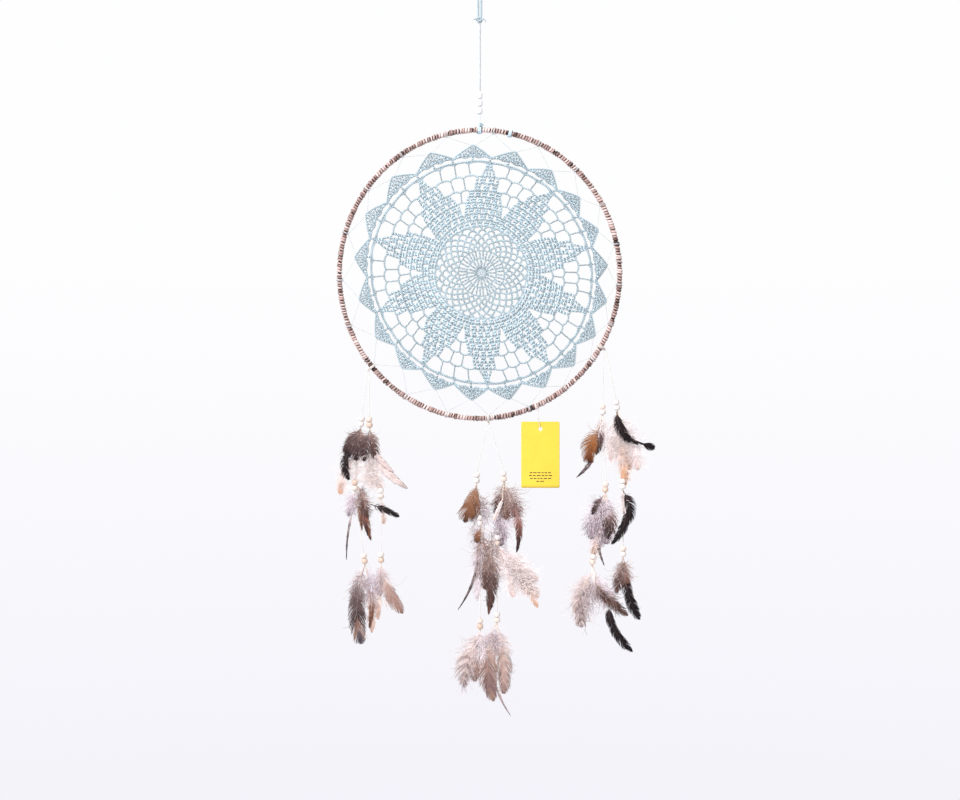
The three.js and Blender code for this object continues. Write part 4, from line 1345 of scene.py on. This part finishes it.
# The string: a ring over the hoop, a knot, and two legs through the hole
pile = Pile()
top = vec(TAG_X, tag_rod_z)
a = np.linspace(0, 2 * math.pi, 40)
ring = top + np.stack([0.4 * np.sin(a), 4.4 * np.sin(a), 4.4 * np.cos(a)], -1)
twisted(pile, ring, 0.42, 2, 2.4, THREAD, sides=5, steps=6)
tie = top + (0, -2.5, -16.5)
knot(pile, tie, 1.0, 0.42, THREAD)
for begin, sy in ((-1, -1), (1, 1)):
    legs = catmull([top + (0.3 * begin, 4.2 * sy, -1.4), top + (0.2 * begin, 1.2 * sy - 1.2, -9),
                    tie], 10)
    twisted(pile, legs, 0.42, 2, 2.4, THREAD, sides=5, steps=6)
    low = catmull([tie, vec(HOLE[0] - 1.0, HOLE[1] + 5, 1.6 * sy - 1.0),
                   vec(HOLE[0], HOLE[1] + 1.6, 0.9 * sy - 0.3),
                   vec(HOLE[0], HOLE[1] + 1.3, -0.3)], 10)
    twisted(pile, low, 0.42, 2, 2.4, THREAD, sides=5, steps=6)
place(pile.object("string", thread_mat), "tag", "tag_string")


# ---- Floor, light and sky ----

FLOOR_RADIUS, FLOOR_Z = 0.85, -1.32  # metres

floor_mesh = bpy.data.meshes.new("floor")
around = np.linspace(0, 2 * math.pi, 97)[:-1]
ring = [(FLOOR_RADIUS * math.cos(a), FLOOR_RADIUS * math.sin(a), FLOOR_Z) for a in around]
floor_mesh.from_pydata(ring, [], [list(range(len(ring)))])
floor = bpy.data.objects.new("floor", floor_mesh)
bpy.context.scene.collection.objects.link(floor)
floor_mat = bpy.data.materials.new("floor")
floor_mat.use_nodes = True
paint = floor_mat.node_tree.nodes["Principled BSDF"]
paint.inputs["Base Color"].default_value = (*linear(236, 235, 240), 1)
paint.inputs["Roughness"].default_value = 0.8
floor_mesh.materials.append(floor_mat)


def area_light(name, where, aim, size, power):
    """A round lamp that faces a point. Places and sizes are in metres."""
    data = bpy.data.lights.new(name, "AREA")
    data.shape = "DISK"
    data.size = size
    data.energy = power
    lamp = bpy.data.objects.new(name, data)
    lamp.location = where
    direction = Vector(aim) - Vector(where)
    lamp.rotation_euler = direction.to_track_quat("-Z", "Y").to_euler()
    bpy.context.scene.collection.objects.link(lamp)


area_light("key", (-1.3, -1.7, 1.1), (0, 0, -0.45), 0.5, 105)
area_light("fill", (1.8, -1.6, -0.2), (0, 0, -0.5), 1.6, 6)

# A pale sky, slightly lilac below the horizon
world = bpy.data.worlds.new("world")
bpy.context.scene.world = world
world.use_nodes = True
sky_tree = world.node_tree
sky = sky_tree.nodes["Background"]
heading = add_node(sky_tree, "TexCoord")
split = add_node(sky_tree, "SeparateXYZ")
climb = add_node(sky_tree, "MapRange", From_Min=-0.36, From_Max=0.1)
shades = add_node(sky_tree, "ValToRGB")
shades.color_ramp.elements[0].color = (*linear(242, 240, 249), 1)
shades.color_ramp.elements[1].color = (*linear(254, 254, 255), 1)
sky_tree.links.new(heading.outputs["Generated"], split.inputs[0])
sky_tree.links.new(split.outputs["Z"], climb.inputs["Value"])
sky_tree.links.new(climb.outputs[0], shades.inputs[0])
sky_tree.links.new(shades.outputs[0], sky.inputs["Color"])
bpy.context.scene.view_settings.view_transform = "Standard"
